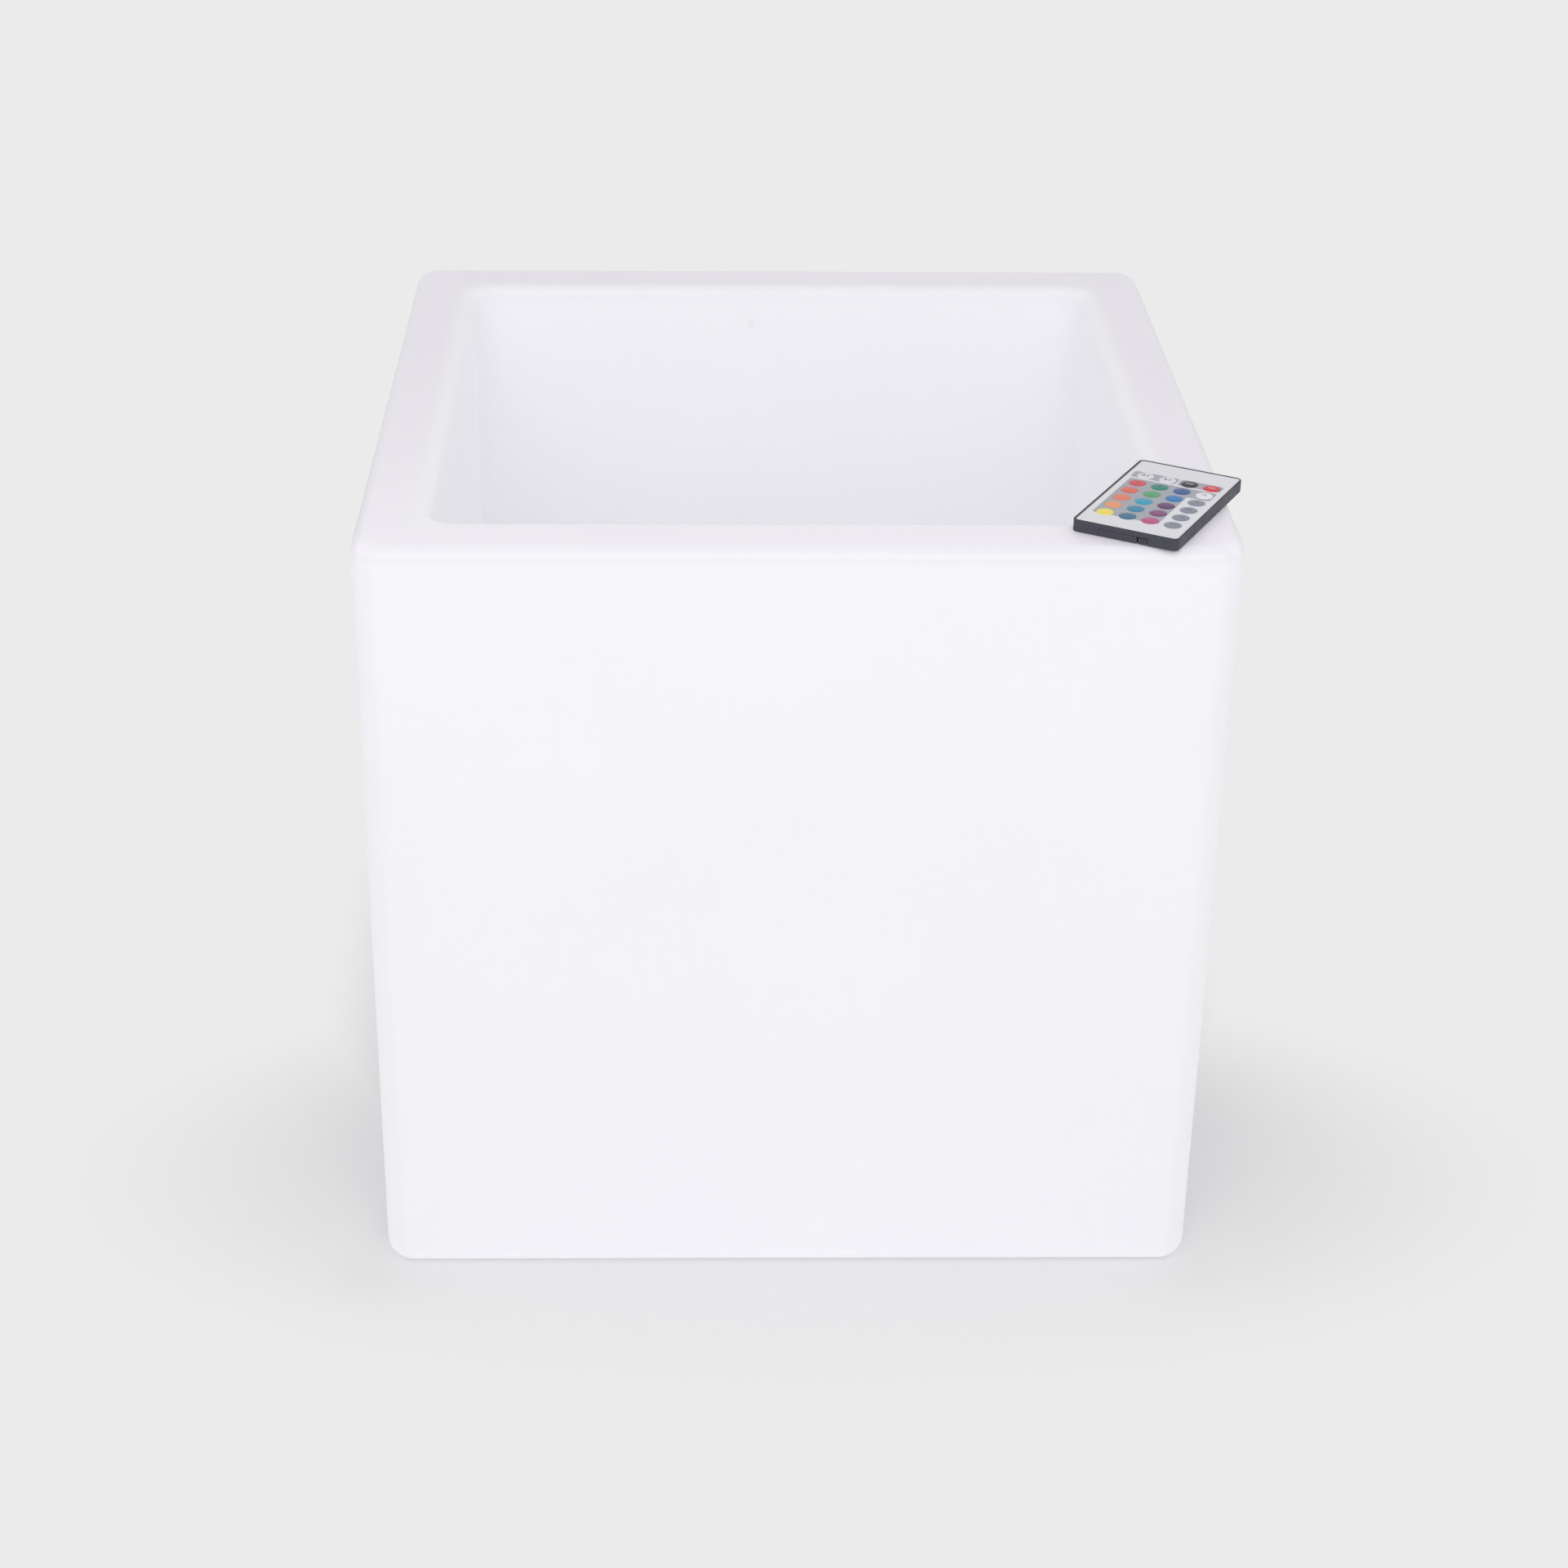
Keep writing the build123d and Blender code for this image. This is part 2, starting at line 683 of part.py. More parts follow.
hole_x = lead_hole_ring_radius * lead_x
hole_y = lead_hole_ring_radius * lead_y
led_plug_x = led_plug_ring_radius * lead_x
led_plug_y = led_plug_ring_radius * lead_y
led_plug_top = led_z + led_plug_height
led_lead = make_lead(
    [
        (led_lead_x, plug_y, plug_top),
        (led_lead_x, plug_y, plug_top + 6),
        (hole_x + 10, hole_y - 22, plug_top + 12),
        (hole_x + 3, hole_y - 9, sink_z - 11),
        (hole_x, hole_y, sink_z - 4),
        (hole_x, hole_y, led_z + 3),
        (hole_x - 5 * lead_x, hole_y - 5 * lead_y, led_plug_top + 7),
        (led_plug_x, led_plug_y, led_plug_top + 6),
        (led_plug_x, led_plug_y, led_plug_top),
    ]
)
save(led_lead, "led_lead")

# ================================================================ bung, button and status window
with BuildPart() as socket_bung:
    with BuildSketch(Plane.XY.offset(flange_bottom - face_gap - bung_cap_thickness)):
        with Locations((controls_x, 0)):
            Circle(bung_cap_radius)
        with Locations((controls_x + bung_tab_reach / 2, 0)):
            SlotOverall(bung_tab_reach + bung_cap_radius, bung_cap_radius)
    extrude(amount=bung_cap_thickness)
    with BuildSketch(Plane.XY.offset(flange_bottom - face_gap)):
        with Locations((controls_x, 0)):
            Circle(bung_hole_radius - running_gap)
    extrude(amount=cup_floor)
    with BuildSketch(Plane.XY.offset(flange_bottom - face_gap + cup_floor)):
        with Locations((controls_x, 0)):
            Circle(socket_bore_radius - face_gap)
            Circle(socket_pin_radius + face_gap, mode=Mode.SUBTRACT)
    extrude(amount=bung_nose_length)
save(socket_bung, "socket_bung")

collar_z = cup_floor_z + face_gap
with BuildPart() as power_button:
    with BuildSketch(Plane.XY.offset(button_z)):
        with Locations((controls_x, -controls_pitch)):
            Circle(button_radius)
    extrude(amount=collar_z - button_z)
    outer_edge = power_button.edges().filter_by(GeomType.CIRCLE).group_by(Axis.Z)[0]
    chamfer(outer_edge, button_chamfer)
    with BuildSketch(Plane.XY.offset(collar_z)):
        with Locations((controls_x, -controls_pitch)):
            Circle(button_radius + button_collar)
    extrude(amount=button_collar_thickness)
    with BuildSketch(Plane.XY.offset(collar_z + button_collar_thickness)):
        with Locations((controls_x, -controls_pitch)):
            Circle(button_stem_radius)
    extrude(amount=plunger_z - collar_z - button_collar_thickness)
save(power_button, "power_button")

with BuildPart() as switch_plunger:
    with BuildSketch(Plane.XY.offset(plunger_z)):
        with Locations((controls_x, -controls_pitch)):
            Circle(plunger_radius)
    extrude(amount=plunger_length)
save(switch_plunger, "switch_plunger")

with BuildPart() as button_switch:
    with BuildSketch(Plane.XY.offset(board_z - switch_height)):
        with Locations((controls_x, -controls_pitch)):
            Rectangle(switch_width, switch_width)
    extrude(amount=switch_height)
    with BuildSketch(Plane.XY.offset(board_z - switch_height)):
        with Locations((controls_x, -controls_pitch)):
            Circle(plunger_radius + running_gap)
    extrude(amount=plunger_length - plunger_proud + button_travel + face_gap, mode=Mode.SUBTRACT)
save(button_switch, "button_switch")

with BuildPart() as status_window:
    with BuildSketch(Plane.XY.offset(flange_bottom)):
        with Locations((controls_x, controls_pitch)):
            Circle(window_radius)
    extrude(amount=socket_height)
    with BuildSketch(Plane.XY.offset(cup_floor_z)):
        with Locations((controls_x, controls_pitch)):
            Circle(window_radius * 1.6)
    extrude(amount=button_collar_thickness)
save(status_window, "status_window")

# ================================================================ remote: case, plate, overlay
ledge_offset = case_wall + case_ledge
tray_body_width = 2 * (coin_radius + coin_gap + tray_side)
tray_length = tray_face_thickness + 2 * (coin_radius + coin_gap) + 2 * tray_side
tray_y = near_end + tray_length / 2
slot_width = tray_face_width + 2 * tray_clearance
slot_height = tray_level + tray_height + tray_clearance
plate_width = remote_width - 2 * case_wall - 2 * overlay_gap
plate_length = remote_length - 2 * case_wall - 2 * overlay_gap
plate_corner = remote_corner_radius - case_wall
pcb_width = remote_width - 2 * ledge_offset - 2 * pcb_gap
pcb_length = remote_length - 2 * ledge_offset - 2 * pcb_gap - emitter_room
pcb_y = near_end + ledge_offset + pcb_gap + pcb_length / 2
emitter_y = near_end + ledge_offset + 2 * pcb_gap + pcb_length
emitter_tip = remote_length / 2 + emitter_proud
emitter_z = case_floor + emitter_radius + face_gap

with BuildPart() as remote_case:
    with BuildSketch(remote_plane(0)):
        RectangleRounded(remote_width, remote_length, remote_corner_radius)
    extrude(amount=remote_height)
    fillet(remote_case.faces().sort_by(Axis.Z)[0].edges(), case_floor / 2)
    chamfer(remote_case.faces().sort_by(Axis.Z)[-1].edges(), case_chamfer)
    with BuildSketch(remote_plane(plate_z)):
        RectangleRounded(plate_width + 2 * overlay_gap, plate_length + 2 * overlay_gap, plate_corner)
    extrude(amount=remote_height, mode=Mode.SUBTRACT)
    with BuildSketch(remote_plane(case_floor)):
        RectangleRounded(remote_width - 2 * ledge_offset, remote_length - 2 * ledge_offset, case_ledge)
    extrude(amount=remote_height, mode=Mode.SUBTRACT)
    # Posts that carry the circuit board clear of the battery tray
    with BuildSketch(remote_plane(case_floor)):
        with GridLocations(pcb_width - 2 * pcb_thickness - 2, pcb_length * 0.3, 2, 3):
            Circle(pcb_thickness)
    extrude(amount=pcb_level - case_floor)
    # Mouth of the tray in the near end, and its window in the floor
    with BuildSketch(remote_plane(-1)):
        with Locations((tray_x, near_end)):
            Rectangle(slot_width, 2 * (ledge_offset + tray_clearance))
    extrude(amount=slot_height + 1, mode=Mode.SUBTRACT)
    with BuildSketch(remote_plane(-1)):
        with Locations((tray_x, tray_y)):
            Rectangle(tray_body_width + 2 * tray_clearance, tray_length + 2 * tray_clearance)
    extrude(amount=case_floor + 1, mode=Mode.SUBTRACT)
    # Hole of the emitter in the far end
    with BuildSketch(remote_end_plane(emitter_y, emitter_z)):
        Circle(emitter_radius + running_gap)
    extrude(amount=remote_length - emitter_y, mode=Mode.SUBTRACT)
save(remote_case, "remote_case")

with BuildPart() as remote_face_plate:
    with BuildSketch(remote_plane(plate_z)):
        RectangleRounded(plate_width, plate_length, plate_corner)
        with Locations((keys_x, keys_y)):
            with GridLocations(key_pitch_x, key_pitch_y, 4, 6):
                Circle(key_radius + 2 * running_gap, mode=Mode.SUBTRACT)
    extrude(amount=plate_thickness)
save(remote_face_plate, "remote_face_plate")

with BuildPart() as remote_overlay:
    with BuildSketch(remote_plane(overlay_z)):
        RectangleRounded(plate_width, plate_length, plate_corner)
        with Locations((keys_x, keys_y)):
            with GridLocations(key_pitch_x, key_pitch_y, 4, 6):
                Circle(key_radius + running_gap, mode=Mode.SUBTRACT)
    extrude(amount=overlay_thickness)
save(remote_overlay, "remote_overlay")

with BuildPart() as remote_board:
    with BuildSketch(remote_plane(pcb_level)):
        with Locations((0, pcb_y)):
            Rectangle(pcb_width, pcb_length)
    extrude(amount=pcb_thickness)
save(remote_board, "remote_board")

with BuildPart() as snap_domes:
    with BuildSketch(remote_plane(pcb_top)):
        with Locations((keys_x, keys_y)):
            with GridLocations(key_pitch_x, key_pitch_y, 4, 6):
                RegularPolygon(snap_dome_radius, 8)
    extrude(amount=snap_dome_height)
save(snap_domes, "snap_domes")

remote_chip_size = 6.0
crystal_length = 8.0
with BuildPart() as remote_chip:
    with BuildSketch(remote_plane(pcb_level)):
        with Locations((-remote_chip_size, remote_length / 5)):
            Rectangle(remote_chip_size, remote_chip_size)
    extrude(amount=-chip_height)
    with BuildSketch(remote_plane(pcb_level)):
        with Locations((remote_chip_size, remote_length / 5)):
            SlotOverall(crystal_length, crystal_length / 3)
    extrude(amount=-2 * pcb_thickness)
save(remote_chip, "remote_chip")

with BuildPart() as ir_emitter:
    with BuildSketch(remote_end_plane(emitter_y, emitter_z)):
        Circle(emitter_radius)
    extrude(amount=emitter_tip - emitter_y)
save(ir_emitter, "ir_emitter")

# ================================================================ remote: the 24 keys
key_names = (
    ("brighter", "dimmer", "off", "on"),
    ("red", "green", "blue", "white"),
    ("orange_red", "light_green", "light_blue", "flash"),
    ("orange", "cyan", "violet", "strobe"),
    ("amber", "teal", "purple", "fade"),
    ("yellow", "steel_blue", "pink", "smooth"),
)
key_body_z = plate_z + key_travel + face_gap
key_edge_z = remote_height
key_top_z = remote_height + key_rise
for row, names in enumerate(key_names):
    for column, name in enumerate(names):
        key_x = keys_x + (column - 1.5) * key_pitch_x
        key_y = keys_y + (2.5 - row) * key_pitch_y
        key_plane = remote_plane(0)
        key_place = key_plane.from_local_coords((key_x, key_y, 0))
        with BuildPart() as key:
            with BuildSketch(Plane(origin=key_place, x_dir=key_plane.x_dir, z_dir=-key_plane.y_dir)):
                with BuildLine():
                    Polyline((0, nub_z), (key_nub_radius, nub_z), (key_nub_radius, key_body_z))
                    Line((key_nub_radius, key_body_z), (key_radius, key_body_z))
                    Line((key_radius, key_body_z), (key_radius, key_edge_z))
                    Line((key_radius, key_edge_z), (key_crown_radius, key_top_z))
                    Polyline((key_crown_radius, key_top_z), (0, key_top_z), (0, nub_z))
                make_face()
            revolve(axis=Axis(key_place, (0, 0, 1)))
        save(key, f"key_{name}")

# ================================================================ remote: battery tray
tray_bottom = tray_level
coin_z = tray_level + tray_floor
coin_y = near_end + tray_face_thickness + tray_side + coin_gap + coin_radius
face_left = tray_x - tray_face_width / 2
face_right = tray_x + tray_face_width / 2
latch_x = face_right - latch_width / 2
arm_x = face_right - latch_arm / 2 - tray_clearance
pivot_y = near_end + latch_length
arm_room = latch_arm + latch_slot + tray_clearance
latch_z = case_floor + tray_clearance
lug_wall = 0.8
lug_width = face_right - tray_x - coin_radius - 2 * coin_gap
lug_x = face_right - lug_width / 2

with BuildPart() as battery_tray:
    with BuildSketch(remote_plane(tray_bottom)):
        with Locations((tray_x, tray_y)):
            Rectangle(tray_body_width, tray_length)
    extrude(amount=tray_height)
    with BuildSketch(remote_plane(case_floor + tray_clearance)):
        with Locations((tray_x, tray_y)):
            Rectangle(tray_body_width + 2 * tray_flange, tray_length)
    extrude(amount=tray_flange_thickness)
    with BuildSketch(remote_plane(tray_bottom)):
        with Locations((tray_x, near_end + tray_face_thickness / 2)):
            Rectangle(tray_face_width, tray_face_thickness)
    extrude(amount=tray_height)
    with BuildSketch(remote_plane(coin_z)):
        with Locations((tray_x, coin_y)):
            Circle(coin_radius + coin_gap)
    extrude(amount=tray_height, mode=Mode.SUBTRACT)
    # Lug that holds the latch's pivot, room for the latch to swing in, and its round seat
    with BuildSketch(remote_plane(latch_z)):
        with Locations((lug_x, pivot_y + latch_arm / 2)):
            Rectangle(lug_width, 2 * lug_wall + latch_arm)
    extrude(amount=tray_bottom + tray_height - latch_z)
    with BuildSketch(remote_plane(tray_bottom)):
        with Locations((face_right, near_end)):
            Rectangle(2 * arm_room, 2 * latch_length)
        with Locations((arm_x, pivot_y)):
            Circle(latch_arm / 2 + running_gap)
        with Locations((latch_x, near_end)):
            Rectangle(latch_width + 2 * latch_slot, 2 * (tray_face_thickness + latch_slot))
    extrude(amount=tray_height, mode=Mode.SUBTRACT)
    # Gap in the inner wall for the side contact
    with BuildSketch(remote_plane(coin_z)):
        with Locations((tray_x, near_end + tray_length)):
            Rectangle(coin_radius, coin_radius)
    extrude(amount=tray_height, mode=Mode.SUBTRACT)
save(battery_tray, "battery_tray")

with BuildPart() as coin_cell:
    with BuildSketch(remote_plane(coin_z)):
        with Locations((tray_x, coin_y)):
            Circle(coin_radius)
    extrude(amount=coin_thickness)
    chamfer(coin_cell.edges().group_by(Axis.Z)[-1], coin_gap * 2)
save(coin_cell, "coin_cell")

with BuildPart() as tray_latch:
    with BuildSketch(remote_plane(latch_z)):
        with Locations((arm_x, near_end + latch_length / 2)):
            Rectangle(latch_arm, latch_length)
        with Locations((arm_x, pivot_y)):
            Circle(latch_arm / 2)
    extrude(amount=tray_level + tray_height - latch_z - tray_clearance)
    with BuildSketch(remote_plane(tray_level + tray_clearance)):
        with Locations((latch_x - tray_clearance, near_end + tray_face_thickness / 2)):
            Rectangle(latch_width, tray_face_thickness)
        with Locations((latch_x - tray_clearance, near_end)):
            with GridLocations(latch_width / latch_ribs, 1, latch_ribs, 1):
                Rectangle(latch_rib_width, 2 * latch_rib_proud)
    extrude(amount=tray_height - 2 * tray_clearance)
save(tray_latch, "tray_latch")

contact_y = coin_y + coin_radius + face_gap + contact_thickness / 2
coin_top = coin_z + coin_thickness
with BuildPart() as battery_contacts:
    with BuildSketch(remote_plane(coin_z + face_gap * 2)):
        with Locations((tray_x, contact_y)):
            Rectangle(coin_radius * 0.5, contact_thickness)
    extrude(amount=pcb_level - coin_z - face_gap * 2)
    with BuildSketch(remote_plane(pcb_level)):
        with Locations((tray_x, coin_y)):
            Rectangle(coin_radius * 0.3, coin_radius * 0.8)
    extrude(amount=coin_top + face_gap - pcb_level)
save(battery_contacts, "battery_contacts")

print("pieces written:", len(os.listdir("parts")))
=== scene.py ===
# %% [markdown]
# # An open-top LED cube light
#
# The object is a white cube, 410 mm wide and 400 mm high, moulded in one piece from polyethylene with a
# double wall, a wide rim and a deep basin. A card remote lies askew across its front right corner. Under
# the cube a round lamp module is screwed into a recess. The CAD frame gives every size and every moving
# body, and this file gives the frame its looks. Blender works in metres, so `mm` turns millimetres into
# metres wherever a size is written.

# %% Load the frame
import bpy
import numpy as np
from mathutils import Matrix, Vector


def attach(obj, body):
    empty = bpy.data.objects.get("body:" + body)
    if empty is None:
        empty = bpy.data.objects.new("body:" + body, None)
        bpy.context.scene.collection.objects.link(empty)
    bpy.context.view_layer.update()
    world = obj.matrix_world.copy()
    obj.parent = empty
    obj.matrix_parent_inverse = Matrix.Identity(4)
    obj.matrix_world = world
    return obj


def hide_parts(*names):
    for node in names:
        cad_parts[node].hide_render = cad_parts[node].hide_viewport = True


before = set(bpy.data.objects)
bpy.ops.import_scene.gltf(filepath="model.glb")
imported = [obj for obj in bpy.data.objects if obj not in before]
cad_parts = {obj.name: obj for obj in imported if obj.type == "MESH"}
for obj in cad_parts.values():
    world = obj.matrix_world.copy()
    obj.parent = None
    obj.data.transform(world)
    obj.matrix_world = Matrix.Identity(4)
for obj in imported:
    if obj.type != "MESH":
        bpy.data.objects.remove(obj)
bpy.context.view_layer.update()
mm = 0.001

# %% [markdown]
# ## Surfaces from grids
#
# A moulded thing is best told as a surface of two parameters: one runs along a profile, the other round
# it. With numpy the whole grid of points is worked out at once. `skin` turns such a grid into a mesh. Its
# columns close on themselves, and its first and last rows are single points, the poles, so that the
# surface has no hole anywhere.

# %% A mesh from a grid of points
def show(name, data):
    """A new object at the origin, put into the scene."""
    thing = bpy.data.objects.new(name, data)
    bpy.context.scene.collection.objects.link(thing)
    return thing


def skin(name, grid, shifts=((0.0, 0.0, 0.0),)):
    """Mesh of a (rows, columns, 3) grid that is closed round its columns, once for each shift.

    Faces join point (i, j) to (i+1, j), (i+1, j+1) and (i, j+1). The first and last rows are single
    points, the poles, and the faces next to them are triangles.
    """
    rows, columns = grid.shape[0] - 2, grid.shape[1]
    number = np.arange(rows * columns).reshape(rows, columns)
    beside = np.roll(number, -1, axis=1)
    quads = np.stack([number[:-1], number[1:], beside[1:], beside[:-1]], axis=-1).reshape(-1, 4)
    start, end = np.full(columns, rows * columns), np.full(columns, rows * columns + 1)
    first = np.stack([start, number[0], beside[0]], axis=-1)
    last = np.stack([end, beside[-1], number[-1]], axis=-1)
    one = np.concatenate([grid[1:-1].reshape(-1, 3), grid[:1, 0], grid[-1:, 0]])
    points = np.concatenate([one + np.array(shift) for shift in shifts])
    faces = []
    for repeat in range(len(shifts)):
        offset = repeat * len(one)
        faces += (quads + offset).tolist() + (first + offset).tolist() + (last + offset).tolist()
    mesh = bpy.data.meshes.new(name)
    mesh.from_pydata(points.tolist(), [], faces)
    mesh.validate()
    mesh.polygons.foreach_set("use_smooth", np.ones(len(mesh.polygons), dtype=bool))
    print(name, "has", len(mesh.polygons), "faces")
    return show(name, mesh)


# %% [markdown]
# ## The section of the cube
#
# Seen from above, every level of the cube is a rounded square, and the recess and access hole underneath
# are circles. Both can share one walk round the outline: a station is either on a straight side or on a
# corner's arc. A rounded square is then `reach` times a point of the unit square plus the corner's radius
# times a unit normal, and a circle is the same walk with each point pushed out to one distance.

# %% Stations round the cube
side_steps = 40  # between two corners
near_corners = 0.35  # how much the stations of a side gather towards its ends, where 0 is evenly spread
corner_steps = 14
circle_reach, circle_corner = 190.0, 14.0  # the rounded square whose stations the circles follow


def walk_round():
    """Unit-square points, unit normals and straightness of one turn, counter-clockwise from the +x side.

    With t from -1 to 1 along a side, the straightness is (1 - t**2)**2. On a corner's arc it is 0.
    """
    along = np.linspace(-1, 1, side_steps + 1)[1:-1]
    along = np.sin(along * np.pi / 2) * near_corners + along * (1 - near_corners)
    turn = np.linspace(-np.pi / 4, np.pi / 4, corner_steps + 1)
    corners, normals, straight = [], [], []
    for quarter in range(4):
        angle = quarter * np.pi / 2
        facing = np.array([np.cos(angle), np.sin(angle)])
        sideways = np.array([-np.sin(angle), np.cos(angle)])
        corners.append(facing + along[:, None] * sideways)
        normals.append(np.repeat(facing[None], len(along), axis=0))
        straight.append((1 - along**2) ** 2)
        arc = turn + angle + np.pi / 4
        corners.append(np.repeat((facing + sideways)[None], len(arc), axis=0))
        normals.append(np.stack([np.cos(arc), np.sin(arc)], axis=-1))
        straight.append(np.zeros(len(arc)))
    return np.concatenate(corners), np.concatenate(normals), np.concatenate(straight)


square_points, square_normals, straightness = walk_round()
stations = square_points * circle_reach + square_normals * circle_corner
directions = stations / np.linalg.norm(stations, axis=1, keepdims=True)
print("stations round the cube:", len(square_points))

# %% [markdown]
# ## The profile of the double wall
#
# The mould forms the outside and the basin in one skin. Its profile starts at the middle of the basin's
# floor, climbs the basin, crosses the rim, runs down the outside, turns under, enters the recess and its
# access hole, and comes back along the hidden side of the same skin to the underside of the basin's floor.
# The sizes are the CAD model's.

# %% Sizes of the cube, in millimetres
half_width = 205.0
top_level = 400.0
wall = 3.5
corner_reach = 191.0  # half-width less the upright corner's radius of 14
top_edge = 6.0
bottom_edge = 12.0
basin_half = 171.0
basin_reach = 157.0
mouth_edge = 6.0
basin_floor = 140.0
floor_fillet = 10.0
recess_radius = 95.0
recess_edge = 3.0
recess_ceiling = 16.0
access_radius = 73.5
skin_edge = 0.8  # small roundings where the skin ends
back_fillet = 2.0  # hidden, between the back of the recess and the base
wall_sink = 0.45  # how far a large wall's middle sinks, as moulded walls do when they cool
print("cube:", 2 * half_width, "x", 2 * half_width, "x", top_level, "mm, wall", wall)

# %% [markdown]
# ## Arcs and flat stretches
#
# Every profile of a moulded part is arcs with flat stretches between them, so two small functions are
# enough. Each row holds a half-width, the corner's centre distance, a level, how round the section is (0
# is a square, 1 a circle) and how far the wall sinks. A smooth surface needs rows close together only
# where it turns, so a flat stretch gathers its rows at its two ends.

# %% Rows of the profile
def arc_rows(centre_half, centre_level, radius, start, end, reach, steps=12, roundness=0.0):
    """Rows on an arc: half-width and level go round a centre, from one angle to another, in degrees."""
    angle = np.radians(np.linspace(start, end, steps + 1))
    half = centre_half + radius * np.cos(angle)
    level = centre_level + radius * np.sin(angle)
    flat = np.ones_like(half)
    return np.stack([half, reach * flat, level, roundness * flat, 0 * flat], axis=1)


def circle_arc(centre_radius, centre_level, radius, start, end, steps=4):
    """The same for the recess and the access hole, whose sections are circles."""
    return arc_rows(centre_radius, centre_level, radius, start, end, 0, steps, 1.0)


def flat_rows(start, end, steps, sink):
    """Rows between two others, with both left out: (1 - s) * start + s * end, and sink * sin(pi s)**2.

    The share s is 0.5 - 0.5 cos(pi t) with t evenly spread, so that the rows gather at both ends.
    """
    even = np.linspace(0, 1, steps + 1)[1:-1]
    share = (0.5 - 0.5 * np.cos(np.pi * even))[:, None]
    rows = (1 - share) * np.array(start) + share * np.array(end)
    rows[:, 4:] = sink * np.sin(np.pi * share) ** 2
    return rows


# %% Arcs of the visible skin
floor_half, floor_level = basin_half - floor_fillet, basin_floor + floor_fillet
mouth_half, mouth_level = basin_half + mouth_edge, top_level - mouth_edge
top_half, top_centre = half_width - top_edge, top_level - top_edge
foot_half = half_width - bottom_edge
floor_arc = arc_rows(floor_half, floor_level, floor_fillet, -90, 0, basin_reach)
mouth_arc = arc_rows(mouth_half, mouth_level, mouth_edge, 180, 90, basin_reach)
top_arc = arc_rows(top_half, top_centre, top_edge, 90, 0, corner_reach)
bottom_arc = arc_rows(foot_half, bottom_edge, bottom_edge, 0, -90, corner_reach, 16)
recess_arc = circle_arc(recess_radius + recess_edge, recess_edge, recess_edge, 270, 180, 8)
ceiling_arc = circle_arc(recess_radius - skin_edge, recess_ceiling - skin_edge, skin_edge, 0, 90)
access_arc = circle_arc(access_radius + skin_edge, recess_ceiling + skin_edge, skin_edge, 270, 180)
print("flat part of the rim:", top_half - mouth_half, "mm wide")

# %% Arcs of its hidden side
access_back = circle_arc(access_radius + skin_edge, recess_ceiling + wall - skin_edge, skin_edge, 180, 90)
recess_back = circle_arc(recess_radius, recess_ceiling, wall, 90, 0, 6)
base_back = circle_arc(recess_radius + wall + back_fillet, wall + back_fillet, back_fillet, 180, 270)
bottom_back = arc_rows(foot_half, bottom_edge, bottom_edge - wall, -90, 0, corner_reach, 10)
top_back = arc_rows(top_half, top_centre, top_edge - wall, 0, 90, corner_reach, 6)
mouth_back = arc_rows(mouth_half, mouth_level, mouth_edge - wall, 90, 180, basin_reach, 6)
floor_back = arc_rows(floor_half, floor_level, floor_fillet + wall, 0, -90, basin_reach)
print("hidden side of the rim at level", float(top_back[-1][2]))

# %% The whole profile
over_middle = [0, 0, basin_floor, 0, 0]
under_middle = [0, 0, basin_floor - wall, 0, 0]
path = [  # each arc, with the steps and the sink of the flat stretch that leads to it
    (floor_arc, 14, 0), (mouth_arc, 30, -wall_sink), (top_arc, 6, 0), (bottom_arc, 36, wall_sink),
    (recess_arc, 12, 0), (ceiling_arc, 3, 0), (access_arc, 5, 0), (access_back, 1, 0),
    (recess_back, 5, 0), (base_back, 3, 0), (bottom_back, 10, 0), (top_back, 20, wall_sink),
    (mouth_back, 4, 0), (floor_back, 18, -wall_sink), ([under_middle], 10, 0),
]
parts = [[over_middle]]
for arc, steps, sink in path:
    parts += [flat_rows(parts[-1][-1], arc[0], steps, sink), arc]
profile = np.concatenate(parts)
print("rows of the cube's profile:", len(profile))

# %% [markdown]
# ## The surface of the cube
#
# One formula carries every row round the stations. It could be built from a box with bevels and booleans
# instead, but then the roundings, the sunk middles of the walls and the change from square to circle
# under the base would need three different tools. Here they are three terms of one sum.

# %% Rows carried round the stations
def cube_surface(rows):
    """(1 - w) * rounded square + w * circle, less sink * straightness along the normal, w the roundness."""
    half, reach, level, roundness, sink = (rows[:, index, None, None] for index in range(5))
    square = reach * square_points + (half - reach) * square_normals
    around = half * directions
    flat = (1 - roundness) * square + roundness * around
    flat = flat - sink * straightness[:, None] * square_normals
    height = np.broadcast_to(level, flat.shape[:2] + (1,))
    return np.concatenate([flat, height], axis=2) * mm


cube = skin("moulded_cube", cube_surface(profile))

# %% [markdown]
# ## Light through the wall
#
# A thin milky wall lets some light through, so the basin, the roundings and the foot of the real cube
# look paler than those of an opaque box. That could be rendered as real transmission, which is slow and
# noisy. Here it is a weak glow, painted light kept at each point as a colour attribute, so it doesn't
# change with the view. Its strengths were set by comparing renders with the photograph, region by region,
# so part of them is the photograph's own light and not the wall's, such as the rim's gain towards the
# front. That part is painted light and painted shade: gains at the rim's front, low on the faces, at the
# foot and at the upright edges of the sides, and losses at the front rounding and the basin's far one.

# %% Strengths of the glow
basin_glow = np.array([0.095, 0.099, 0.087])  # red, green and blue, where 1 is white
rim_glow = np.array([0.045, 0.031, 0.052])
face_glow = np.array([0.044, 0.047, 0.048])
